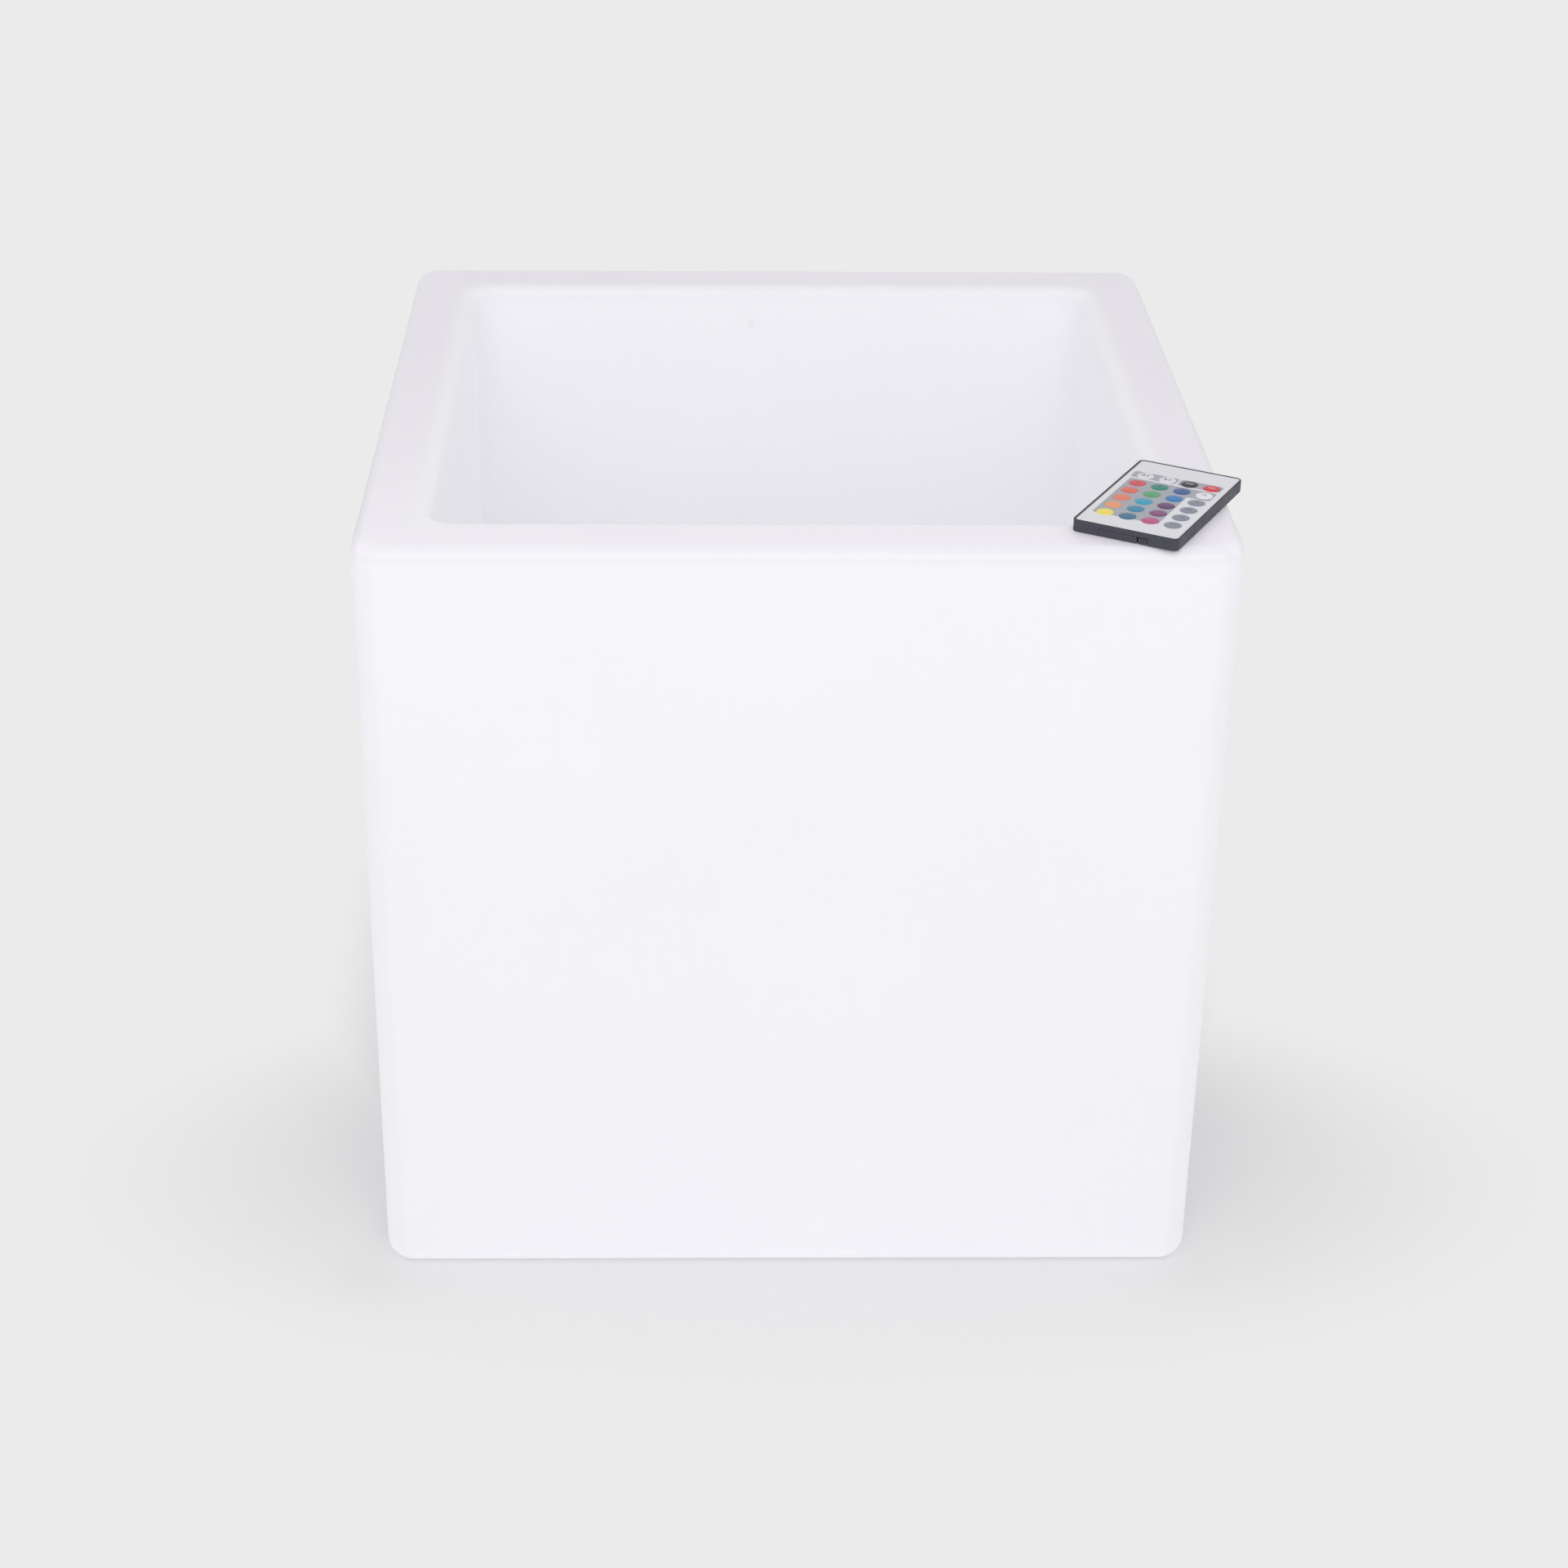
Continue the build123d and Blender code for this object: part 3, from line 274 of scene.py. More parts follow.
# The six below are painted light and painted shade: gains at the rim's front, the upright side edges, low
# on the faces and at the foot, and losses at two roundings.
front_rim_painted_light = 0.06  # these six are added in equal red, green and blue
front_edge_painted_shade = 0.085
far_edge_painted_shade = 0.045
side_edge_painted_light = 0.09
low_painted_light = 0.008
foot_painted_light = 0.13
front_start = 50.0  # the rim's painted light starts here, in millimetres, and grows towards the front
low_start = 160.0  # the level from which the faces gain painted light downwards
edge_across, edge_along = 8.0, 16.0  # size of the upright edges' painted light, across and along a side
far_edge_low, far_edge_high = 10.0, 4.0  # below the top, where the far rounding's painted shade starts and is full


def ramp(values, start, end):
    """0 before the start, 1 past the end, straight between them."""
    return np.clip((values - start) / (end - start), 0, 1)


# %% Glow of each point
def add_glow(piece):
    """Colour at each point: rim + (basin - rim) * share in the basin + (face - rim) * share outside.

    The shares are ramps over the roundings between them. The rim gains painted light towards the front,
    as a squared ramp. Its front rounding and the basin's far one lose some, a painted shade, because
    renders were too bright there. The faces gain painted light downwards, again at the foot, and at the
    upright edges of the two sides.
    """
    points = np.empty(len(piece.data.vertices) * 3)
    piece.data.vertices.foreach_get("co", points)
    x, y, level = (points.reshape(-1, 3) / mm).T[:, :, None]
    out = np.maximum(abs(x), abs(y))
    in_basin = ramp(out, basin_half + 2 * mouth_edge, basin_half) * (level > basin_floor - 1)
    over_edge = ramp(out, half_width - top_edge, half_width)
    below_edge = ramp(level, top_level - top_edge, top_level - 2 * top_edge) * (1 - in_basin)
    outside = np.maximum(over_edge, below_edge)
    # The rim's gain towards the front is painted light.
    front = ramp(y, front_start, -half_width) ** 2
    # The upright edges of the two sides gain painted light.
    on_side_edge = ramp(abs(x), half_width - edge_across, half_width)
    on_side_edge = on_side_edge * ramp(abs(y), corner_reach - edge_along, corner_reach)
    on_rim = rim_glow + front_rim_painted_light * front
    on_face = face_glow + side_edge_painted_light * on_side_edge
    # The faces gain painted light downwards and at the foot.
    on_face = on_face + low_painted_light * ramp(level, low_start, 0) + foot_painted_light * ramp(level, bottom_edge, 0)
    colour = on_rim + (basin_glow - on_rim) * in_basin + (on_face - on_rim) * outside
    top_ramp = ramp(level, top_level - 1.5 * top_edge, top_level - 0.5 * top_edge)
    far_ramp = ramp(level, top_level - far_edge_low, top_level - far_edge_high)
    # The front rounding and the basin's far one lose some glow, a painted shade.
    front_painted_shade = front_edge_painted_shade * front * over_edge * top_ramp
    far_painted_shade = far_edge_painted_shade * in_basin * ramp(y, basin_half - mouth_edge, basin_half) * far_ramp
    colour = np.maximum(colour - front_painted_shade - far_painted_shade, 0)
    layer = piece.data.attributes.new("glow", "FLOAT_COLOR", "POINT")
    layer.data.foreach_set("color", np.insert(colour, 3, 1.0, axis=1).astype(np.float32).ravel())
    print("glow from", round(float(colour.min()), 3), "to", round(float(colour.max()), 3))


add_glow(cube)
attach(cube, "cube")
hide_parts("cube_shell")

# %% [markdown]
# ## Nodes in one line
#
# A material is a graph: nodes with sockets, and links from one node's output to another's input. Written
# out one by one, most lines only set a value or draw a link. `feed` does both from one table: a plain
# value is set on the socket itself, and another node's output is linked to it.

# %% Node helpers
def feed(tree, node, feeds):
    """Gives each input, by name or number, its value, or links it to another node's output."""
    for socket, value in feeds.items():
        if isinstance(value, bpy.types.NodeSocket):
            tree.links.new(value, node.inputs[socket])
        else:
            node.inputs[socket].default_value = value
    return node


def add_node(tree, kind, feeds, operation=None):
    """A new node of a kind, with its operation if it has one, and its inputs fed."""
    node = tree.nodes.new(kind)
    if operation:
        node.operation = operation
    return feed(tree, node, feeds)


def math_node(tree, operation, first, second):
    """Output of one Math node."""
    return add_node(tree, "ShaderNodeMath", {0: first, 1: second}, operation).outputs["Value"]


def vector_node(tree, operation, first, second=(0.0, 0.0, 0.0)):
    """Output of one Vector Math node: a number for LENGTH, and a vector for the others."""
    node = add_node(tree, "ShaderNodeVectorMath", {0: first, 1: second}, operation)
    return node.outputs["Value" if operation == "LENGTH" else "Vector"]


def object_place(tree):
    """Object coordinates, which every pattern here reads."""
    return add_node(tree, "ShaderNodeTexCoord", {}).outputs["Object"]


# %% [markdown]
# ## Finishes
#
# A finish is a Principled shader whose constants stand on its own sockets, plus a few textures that read
# Object coordinates. Three additions come back in many finishes: a fine bump for the moulded grain, a
# roughness that varies a little, and a colour that varies a little. Each is one short function.

# %% A finish and its noise
noise_detail = 3.0
roughness_span = (0.3, 0.7)  # the values of a noise between which the roughness changes
colour_span = (0.35, 0.65)  # the same for the colour


def feed_shader(material, feeds):
    """Feeds the inputs of a finish's Principled shader."""
    feed(material.node_tree, material.node_tree.nodes["Principled BSDF"], feeds)


def finish(name, colour, roughness, metallic=0.0, **more):
    """A material whose Principled shader has these constants. More names other sockets of the shader."""
    material = bpy.data.materials.new(name)
    material.use_nodes = True
    feeds = {"Base Color": (*colour, 1.0), "Roughness": roughness, "Metallic": metallic}
    for socket, value in more.items():
        feeds[socket.replace("_", " ").title().replace("Ior", "IOR")] = value
    feed_shader(material, feeds)
    material.diffuse_color = (*colour, 1.0)
    return material


def object_noise(material, scale, stretch):
    """A noise texture on Object coordinates, in waves per metre, stretched along the axes."""
    tree = material.node_tree
    place = add_node(tree, "ShaderNodeMapping", {"Vector": object_place(tree), "Scale": stretch})
    feeds = {"Vector": place.outputs["Vector"], "Scale": scale, "Detail": noise_detail}
    return add_node(tree, "ShaderNodeTexNoise", feeds).outputs["Fac"]


# %% Grain, uneven gloss and uneven colour
def add_grain(material, scale, depth, strength=0.5, stretch=(1, 1, 1)):
    """Bump of a fine noise: scale in waves per metre, depth in metres."""
    feeds = {"Strength": strength, "Distance": depth, "Height": object_noise(material, scale, stretch)}
    bump = add_node(material.node_tree, "ShaderNodeBump", feeds)
    feed_shader(material, {"Normal": bump.outputs["Normal"]})


def vary_roughness(material, scale, low, high, stretch=(1, 1, 1)):
    """Roughness between two values by a noise."""
    spread = add_node(material.node_tree, "ShaderNodeMapRange", {
        "Value": object_noise(material, scale, stretch),
        "From Min": roughness_span[0], "From Max": roughness_span[1], "To Min": low, "To Max": high,
    })
    feed_shader(material, {"Roughness": spread.outputs["Result"]})


def vary_colour(material, scale, first, second, stretch=(1, 1, 1)):
    """Base colour between two colours by a noise."""
    noise = object_noise(material, scale, stretch)
    tones = add_node(material.node_tree, "ShaderNodeValToRGB", {"Fac": noise})
    for stop, position, tone in zip(tones.color_ramp.elements, colour_span, (first, second)):
        stop.position = position
        stop.color = (*tone, 1.0)
    feed_shader(material, {"Base Color": tones.outputs["Color"]})


def dress(piece, material):
    """Gives a piece, or a node of the frame, one material in all its slots."""
    if not piece.material_slots:
        piece.data.materials.append(material)
    for slot in piece.material_slots:
        slot.material = material


# %% [markdown]
# ## Polyethylene
#
# Rotationally moulded polyethylene is milky: light enters it, spreads a few millimetres and comes out
# again, which softens every edge. Its skin is satin with a fine orange peel from the mould. Subsurface
# scattering gives the softness, and the tint is a slightly cool white. The glow that was worked out for
# each point goes to the shader's emission.

# %% The cube's finish
polyethylene = finish(
    "polyethylene", (0.915, 0.897, 0.960), 0.42, ior=1.51, subsurface_weight=0.35, subsurface_scale=0.006,
    subsurface_radius=(1.0, 0.95, 1.05), emission_strength=1.0,
)
vary_colour(polyethylene, 9.0, (0.909, 0.891, 0.955), (0.921, 0.903, 0.965))
vary_roughness(polyethylene, 60.0, 0.38, 0.47)
add_grain(polyethylene, 650.0, 0.00012, 0.25)
point_glow = add_node(polyethylene.node_tree, "ShaderNodeAttribute", {})
point_glow.attribute_name = "glow"
feed_shader(polyethylene, {"Emission Color": point_glow.outputs["Color"]})
dress(cube, polyethylene)
print("the cube wears", cube.material_slots[0].name)

# %% [markdown]
# ## Shapes on the remote
#
# The remote lies turned by 29 degrees. Its own axes run across it and towards its far end, so a piece of
# the remote is worked out flat, in the remote's millimetres, and then carried into place with one
# function. The centre and the turn are the CAD model's.

# %% The remote's place
remote_turn = np.radians(29.0)
remote_centre = np.array([169.3, -157.3, 400.0])
across = np.array([np.cos(remote_turn), -np.sin(remote_turn), 0.0])
along_remote = np.array([np.sin(remote_turn), np.cos(remote_turn), 0.0])
upward = np.array([0.0, 0.0, 1.0])
print("middle of the remote, in millimetres:", remote_centre)


def on_remote(points):
    """Points of the remote, in its own millimetres, as points of the frame in metres."""
    return (remote_centre + points @ np.stack([across, along_remote, upward])) * mm


def lathe(name, profile_rows, centre, steps=40, place=on_remote):
    """A round piece: each (radius, level) of the profile turned about a vertical axis through a centre.

    The profile starts at the top of the axis and ends at its bottom, so that faces point outwards.
    """
    angle = np.linspace(0, 2 * np.pi, steps, endpoint=False)
    radius, level = profile_rows[:, 0, None], profile_rows[:, 1, None]
    grid = np.stack([
        centre[0] + radius * np.cos(angle), centre[1] + radius * np.sin(angle), level + 0 * angle,
    ], axis=-1)
    return skin(name, place(grid))


# %% [markdown]
# ## Keys
#
# Each key is a small moulded cap with a slightly domed top and a soft edge. The dome is what gives every
# key its own highlight. The caps stand in four columns and six rows, each on its own moving body.

# %% Key field, in millimetres
key_radius = 4.1
key_base = 4.95
key_edge = 6.03
key_top = 6.41  # the ink adds 0.03, up to the CAD cap
key_crown = 3.5  # the larger, the flatter the middle and the steeper the edge
key_rounding = 0.25
key_chamfer = 0.1  # at the foot of the cap, under the film
key_pitch_across = 11.1
key_pitch_along = 10.2
key_field_centre = (0.9, -2.1)
key_rows = [
    ["brighter", "dimmer", "off", "on"],
    ["red", "green", "blue", "white"],
    ["orange_red", "light_green", "light_blue", "flash"],
    ["orange", "cyan", "violet", "strobe"],
    ["amber", "teal", "purple", "fade"],
    ["yellow", "steel_blue", "pink", "smooth"],
]
key_colours = {
    "brighter": (0.81, 0.79, 0.84), "dimmer": (0.81, 0.79, 0.84), "off": (0.010, 0.009, 0.022),
    "on": (0.70, 0.030, 0.055), "red": (0.69, 0.075, 0.11), "green": (0.020, 0.25, 0.185),
    "blue": (0.035, 0.10, 0.32), "white": (0.90, 0.88, 0.94), "orange_red": (0.80, 0.145, 0.105),
    "light_green": (0.090, 0.365, 0.16), "light_blue": (0.018, 0.20, 0.52), "flash": (0.265, 0.285, 0.355),
    "orange": (0.85, 0.21, 0.135), "cyan": (0.018, 0.365, 0.55), "violet": (0.125, 0.035, 0.155),
    "strobe": (0.265, 0.285, 0.355), "amber": (0.88, 0.35, 0.15), "teal": (0.030, 0.25, 0.42),
    "purple": (0.22, 0.062, 0.20), "fade": (0.265, 0.285, 0.355), "yellow": (0.97, 0.80, 0.125),
    "steel_blue": (0.034, 0.16, 0.28), "pink": (0.545, 0.078, 0.236), "smooth": (0.265, 0.285, 0.355),
}


def key_centre(row, column):
    """Where a key stands on the remote: steps from the field's middle, with row 0 at the far end."""
    x = key_field_centre[0] + (column - 1.5) * key_pitch_across
    y = key_field_centre[1] + (2.5 - row) * key_pitch_along
    return x, y


print("keys:", sum(len(names) for names in key_rows))


# %% [markdown]
# ## Caps
#
# A cap is a round section: a crown, a small rounding, a straight side and a chamfered foot. The crown is
# one power of the distance from the middle, because the same formula then gives the ink its height. The
# paint is slightly glossy, with a thin clear coat and a very fine grain.

# %% The caps
def key_level(distance):
    """Height of the cap's top at a distance from its middle: top - rise * (distance / radius) ** crown."""
    return key_top - (key_top - key_edge) * np.clip(distance / key_radius, 0, 1) ** key_crown


def key_profile():
    """From the dome's top over the soft edge down the side to the cap's underside."""
    shoulder = key_radius - key_rounding
    out = np.linspace(0, shoulder, 9)
    crown = np.stack([out, key_level(out)], axis=1)
    angle = np.radians(np.linspace(75, 0, 5))
    level = key_level(shoulder) - key_rounding
    edge = np.stack([shoulder + key_rounding * np.cos(angle), level + key_rounding * np.sin(angle)], axis=1)
    foot = [[key_radius, key_base + key_chamfer], [key_radius - key_chamfer, key_base], [0, key_base]]
    return np.concatenate([crown, edge, foot])


key_gloss = {"ior": 1.42, "coat_weight": 0.12, "coat_roughness": 0.2}
for row, names in enumerate(key_rows):
    for column, name in enumerate(names):
        cap = lathe(f"key_cap_{name}", key_profile(), key_centre(row, column))
        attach(cap, f"key_{name}")
        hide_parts(f"key_{name}")
        paint = finish(f"key_{name}", key_colours[name], 0.36, **key_gloss)
        add_grain(paint, 2500.0, 0.00003, 0.2)
        dress(cap, paint)

# %% [markdown]
# ## Signs on the keys
#
# A few keys carry plain signs: ON and OFF, the first letters of the colours, a sun with an arrow for
# brighter and dimmer, and small strokes for the four running effects. They are ink, a few hundredths of a
# millimetre thick. Letters come from Blender's own font and are turned into a mesh. The other signs are
# outlines from short formulas. Either way each point takes its height from the dome of its key.

# %% Flat signs
def lettering(word, size):
    """Points, faces and which points are on top, for a word in the middle of the origin."""
    curve = bpy.data.curves.new("word", "FONT")
    curve.body, curve.size, curve.extrude, curve.offset = word, size, 0.1, 0.01 * size
    curve.align_x, curve.align_y = "CENTER", "CENTER"
    curve.resolution_u = 3
    holder = bpy.data.objects.new("word", curve)
    mesh = bpy.data.meshes.new_from_object(holder)
    points = np.array([vertex.co[:] for vertex in mesh.vertices])
    faces = [list(polygon.vertices) for polygon in mesh.polygons]
    bpy.data.objects.remove(holder)
    return points[:, :2], faces, points[:, 2] > 0


def outlines(shapes):
    """Points, faces and tops of upright prisms over flat outlines, which run counter-clockwise."""
    points, faces, tops = [], [], []
    for shape in shapes:
        count, start = len(shape), len(points)
        points += list(shape) * 2
        tops += [True] * count + [False] * count
        faces.append([start + step for step in range(count)])
        faces.append([start + count + step for step in reversed(range(count))])
        for step in range(count):
            after = (step + 1) % count
            faces.append([start + count + step, start + count + after, start + after, start + step])
    return np.array(points), faces, np.array(tops)


def bar(x, y, length, width, turn=0.0):
    """Outline of a bar about its middle, turned by an angle in degrees."""
    corner = np.array([[-1, -1], [1, -1], [1, 1], [-1, 1]]) * [length / 2, width / 2]
    angle = np.radians(turn)
    spin = np.array([[np.cos(angle), np.sin(angle)], [-np.sin(angle), np.cos(angle)]])
    return corner @ spin + [x, y]


# %% The twelve signs, in millimetres about the middle of a key
sun_side, sun_radius, ray_middle = -0.9, 0.65, 1.2
arrow_side, arrow_wing, arrow_tip = 1.3, 0.6, 1.1
letter_size = 2.2


def sun(arrow):
    """A sun with eight rays, and beside it an arrow that points up for 1 and down for -1."""
    angle = np.radians(np.linspace(0, 360, 17)[:-1])
    disc = np.stack([sun_side + sun_radius * np.cos(angle), sun_radius * np.sin(angle)], axis=1)
    rays = [
        bar(sun_side + ray_middle * np.cos(spoke), ray_middle * np.sin(spoke), 0.5, 0.2, np.degrees(spoke))
        for spoke in np.radians(np.arange(0, 360, 45))
    ]
    left, right = arrow_side - arrow_wing, arrow_side + arrow_wing
    head = np.array([[left, 0.1], [right, 0.1], [arrow_side, arrow_tip]]) * [1, arrow]
    head = head[::arrow]  # an outline that is turned over is read backwards, to stay counter-clockwise
    return outlines([disc, *rays, bar(arrow_side, -0.5 * arrow, 0.32, 1.2), head])


wave = np.linspace(-1.7, 1.7, 15)
wave_line = np.stack([wave, 0.35 * np.sin(wave * 2.6)], axis=1)
half_stroke = np.array([0, 0.13])
zigzag = np.array([[-0.7, 0.1], [-0.1, 0.1], [-0.5, -0.9], [0.8, 0.2], [0.2, 0.2], [0.5, 0.9]])
signs = {
    "brighter": sun(1), "dimmer": sun(-1), "off": lettering("OFF", 2.0), "on": lettering("ON", letter_size),
    "red": lettering("R", letter_size), "green": lettering("G", letter_size),
    "blue": lettering("B", letter_size), "white": lettering("W", letter_size),
    "flash": outlines([zigzag]),
    "strobe": outlines([bar(-1.4 + 0.7 * step, 0, 0.28, 1.3) for step in range(5)]),
    "fade": outlines([bar(-1.5 + 0.6 * step, 0, 0.34, 0.25 + 0.2 * step) for step in range(6)]),
    "smooth": outlines([np.concatenate([wave_line - half_stroke, (wave_line + half_stroke)[::-1]])]),
}
print("signs:", len(signs))

# %% [markdown]
# ## Ink
#
# Each sign is laid on the dome of its key. Its top points stand a little above the dome and its lower
# points are sunk into it, so that no gap shows. Light ink is used on the dark and the red key, dark ink on
# the others, and both are a little uneven.

# %% Signs laid on their keys
ink_height = 0.03
ink_depth = 0.05
ink_tones = {"light_ink": (0.80, 0.80, 0.82), "dark_ink": (0.09, 0.09, 0.11)}
inks = {}
for ink_name, tone in ink_tones.items():
    inks[ink_name] = finish(ink_name, tone, 0.4)
    vary_colour(inks[ink_name], 900.0, tone, tuple(0.85 * part for part in tone))
for row, names in enumerate(key_rows):
    for column, name in enumerate(names):
        if name not in signs:
            continue
        flat, faces, top = signs[name]
        level = key_level(np.linalg.norm(flat, axis=1)) + np.where(top, ink_height, -ink_depth)
        middle = np.array(key_centre(row, column))
        points = on_remote(np.concatenate([flat + middle, level[:, None]], axis=1))
        mesh = bpy.data.meshes.new(f"key_sign_{name}")
        mesh.from_pydata(points.tolist(), [], faces)
        mesh.validate()
        sign = show(f"key_sign_{name}", mesh)
        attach(sign, f"key_{name}")
        light = name in ("on", "off")
        dress(sign, inks["light_ink" if light else "dark_ink"])
print("inks:", ", ".join(inks))

# %% [markdown]
# ## The printed film
#
# A light grey film covers the remote's face. Mid-grey panels are printed on it: one behind the two
# brightness keys, one behind OFF and ON, and a large one behind the colour keys with a bay round the white
# key. Along its left and far edges the face is dark for almost a millimetre more than the case's lip, a
# painted shade beside the lip. Neither a printed shape nor a painted shade has thickness, so both belong
# in the material. The distance to a rounded rectangle, worked out with vector nodes on Object
# coordinates, gives a crisp mask at any scale.

# %% Masks of rounded rectangles
film_panels = [
    # low x, high x, low y, high y, corner radius
    (-22.2, 0.3, 19.8, 27.6, 1.6),
    (1.2, 22.4, 19.8, 27.6, 1.6),
    (-21.4, 11.0, -29.9, 18.3, 1.4),
    (9.0, 22.2, 7.6, 18.3, 1.6),
]
unshaded_part = (-24.35, 25.4, -42.4, 41.25, 1.5)  # the film carries painted shade, in black, outside it


def rounded_mask(tree, place, panel):
    """1 inside a rounded rectangle: length(max(|p - centre| - inner half, 0)) is less than the radius."""
    low_x, high_x, low_y, high_y, radius = panel
    centre = ((low_x + high_x) / 2 * mm, (low_y + high_y) / 2 * mm, 0)
    inner = (((high_x - low_x) / 2 - radius) * mm, ((high_y - low_y) / 2 - radius) * mm, 1.0)
    from_middle = vector_node(tree, "ABSOLUTE", vector_node(tree, "SUBTRACT", place, centre))
    past_inner = vector_node(tree, "MAXIMUM", vector_node(tree, "SUBTRACT", from_middle, inner))
    return math_node(tree, "LESS_THAN", vector_node(tree, "LENGTH", past_inner), radius * mm)


def mix_colours(tree, share, first, second):
    """The first colour where the share is 0, the second where it is 1."""
    mix = tree.nodes.new("ShaderNodeMix")
    mix.data_type = "RGBA"
    feed(tree, mix, {"Factor": share, "A": first, "B": second})
    return mix.outputs["Result"]


# %% The film's finish
film_white = (0.835, 0.83, 0.88)
film_grey = (0.40, 0.42, 0.47)
# The black is painted shade along the left and far edges, beside the case's lip.
painted_lip_shade = (0.040, 0.040, 0.055)


def film_print_and_shade(material):
    """Colour of the film: grey inside any of the panels, else white, and painted shade in black outside the
    part that has none.
    """
    tree = material.node_tree
    centring = add_node(tree, "ShaderNodeMapping", {
        "Vector": object_place(tree), "Location": (remote_centre[0] * mm, remote_centre[1] * mm, 0.0),
        "Rotation": (0, 0, -remote_turn),
    })
    centring.vector_type = "TEXTURE"
    place = centring.outputs["Vector"]
    masks = [rounded_mask(tree, place, panel) for panel in film_panels]
    covered = masks[0]
    for mask in masks[1:]:
        covered = math_node(tree, "MAXIMUM", covered, mask)
    printed = mix_colours(tree, covered, (*film_white, 1.0), (*film_grey, 1.0))
    return mix_colours(tree, rounded_mask(tree, place, unshaded_part), (*painted_lip_shade, 1.0), printed)


film = finish("remote_film", film_white, 0.35, ior=1.5)
feed_shader(film, {"Base Color": film_print_and_shade(film)})
vary_roughness(film, 400.0, 0.30, 0.42)
add_grain(film, 3000.0, 0.00002, 0.2)
dress(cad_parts["remote_overlay"], film)
print("film panels:", len(film_panels))

# %% [markdown]
# ## The mould mark
#
# A moulding shows where its mould was closed or vented. The far wall of the basin carries one small round
# mark, slightly raised. It is a lathed section like the keys, turned to stand out of the wall.

# %% Mark on the far wall
mark_profile = np.array([
    [0, 0.2], [0.9, 0.19], [1.5, 0.15], [1.9, 0.06], [2.05, -0.1], [2.05, -0.6], [0, -0.6],
])
mark_across, mark_level = -15.3, 378.3


def on_far_wall(points):
    """Points about the mark's middle: across, up and out of the far wall of the basin, to the frame."""
    x, level, out = points[..., 0], points[..., 1], points[..., 2]
    return np.stack([x + mark_across, basin_half - out, level + mark_level], axis=-1) * mm


mark = lathe("mould_mark", mark_profile, (0, 0), 32, on_far_wall)
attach(mark, "cube")
# The mark's finish glows a little, painted light like the cube's glow.
mark_finish = finish("mould_mark", (0.87, 0.855, 0.91), 0.5, emission_strength=0.07)
add_grain(mark_finish, 1200.0, 0.00005, 0.3)
dress(mark, mark_finish)

# %% [markdown]
# ## Bosses and resin domes
#
# Six bosses stand on the recess's skin inside the wall, round the threaded inserts, with a hexagonal
# pocket for each, so that an insert can't turn. Every light-emitting chip has a low dome of clear resin.
# Each kind is one round section, repeated in rings about the lamp's axis. Repeating the points inside one
# mesh is lighter than one object for each.

# %% Rings of small round pieces
boss_ring, boss_count = 84.0, 6
resin_rings = ((40.0, 12, 15.0), (18.0, 6, 0.0))  # radius, count and first angle, as the chips stand


def ring_of(radius, count, start=0.0):
    """Middles of a ring of equal pieces about the lamp's axis, in metres, from a first angle in degrees."""
    angle = np.arange(count) * 2 * np.pi / count + np.radians(start)
    return np.stack([radius * np.cos(angle), radius * np.sin(angle), 0 * angle], axis=1) * mm


def round_grid(rows, steps):
    """Each (radius, level, hexagon share) carried round: a circle, or a hexagon where the share is 1."""
    angle = np.linspace(0, 2 * np.pi, steps, endpoint=False)
    folded = angle % (np.pi / 3) - np.pi / 6
    radius, level, share = (rows[:, index, None] for index in range(3))
    reach = radius * ((1 - share) + share / np.cos(folded))
    return np.stack([reach * np.cos(angle), reach * np.sin(angle), level + 0 * angle], axis=-1) * mm


boss_rows = np.array([
    [0, 31, 0], [7.2, 31, 0], [7.8, 30.7, 0], [8, 30, 0], [8, 18.5, 0],
    [4.0, 18.5, 1], [4.0, 27, 1], [0, 27, 0],
])
bosses = skin("insert_bosses", round_grid(boss_rows, 48), ring_of(boss_ring, boss_count))
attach(bosses, "cube")
# The bosses wear the mark's finish, with its painted light.
dress(bosses, mark_finish)

# %% Resin domes
resin_rows = np.array([
    [0, 59.75, 0], [0.9, 59.65, 0], [1.5, 59.4, 0], [1.8, 59.1, 0], [1.8, 58.9, 0], [0, 58.9, 0],
])
resin_middles = np.concatenate([ring_of(*ring) for ring in resin_rings])
resin = skin("led_resin_domes", round_grid(resin_rows, 18), resin_middles)
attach(resin, "cube")
resin_finish = finish("led_resin", (0.95, 0.78, 0.22), 0.12, ior=1.53, coat_weight=0.5)
add_grain(resin_finish, 3000.0, 0.00001, 0.1)
dress(resin, resin_finish)

# %% [markdown]
# ## Everything else of the frame
#
# The other nodes already have the right shape, so they only get their finishes. They are grouped by the
# stuff they are made of. Sheet and machined metal is stretched noise, which reads as brushing. Moulded
# plastics get a fine grain. Circuit boards get a faint pattern of copper runs under the solder mask.

# %% Three kinds of finish
def moulded(name, colour, roughness, grain_scale=1800.0, grain_depth=0.00004, **more):
    """Moulded plastic or rubber: fine grain, roughness a little uneven."""
    material = finish(name, colour, roughness, **more)
    vary_roughness(material, 250.0, roughness - 0.05, roughness + 0.05)
    add_grain(material, grain_scale, grain_depth, 0.35)
    return material


def metal(name, colour, roughness, stretch=(1, 1, 1)):
    """Metal with faint directional marks."""
    material = finish(name, colour, roughness, metallic=1.0)
    vary_roughness(material, 700.0, roughness - 0.07, roughness + 0.08, stretch)
    add_grain(material, 1500.0, 0.00001, 0.25, stretch)
    return material


def board(name, mask_colour, run_colour):
    """Circuit board: copper runs show faintly through the solder mask."""
    runs = (1.0, 0.18, 1.0)
    material = finish(name, mask_colour, 0.32, ior=1.5)
    vary_colour(material, 420.0, mask_colour, run_colour, runs)
    add_grain(material, 420.0, 0.00003, 0.4, runs)
    return material


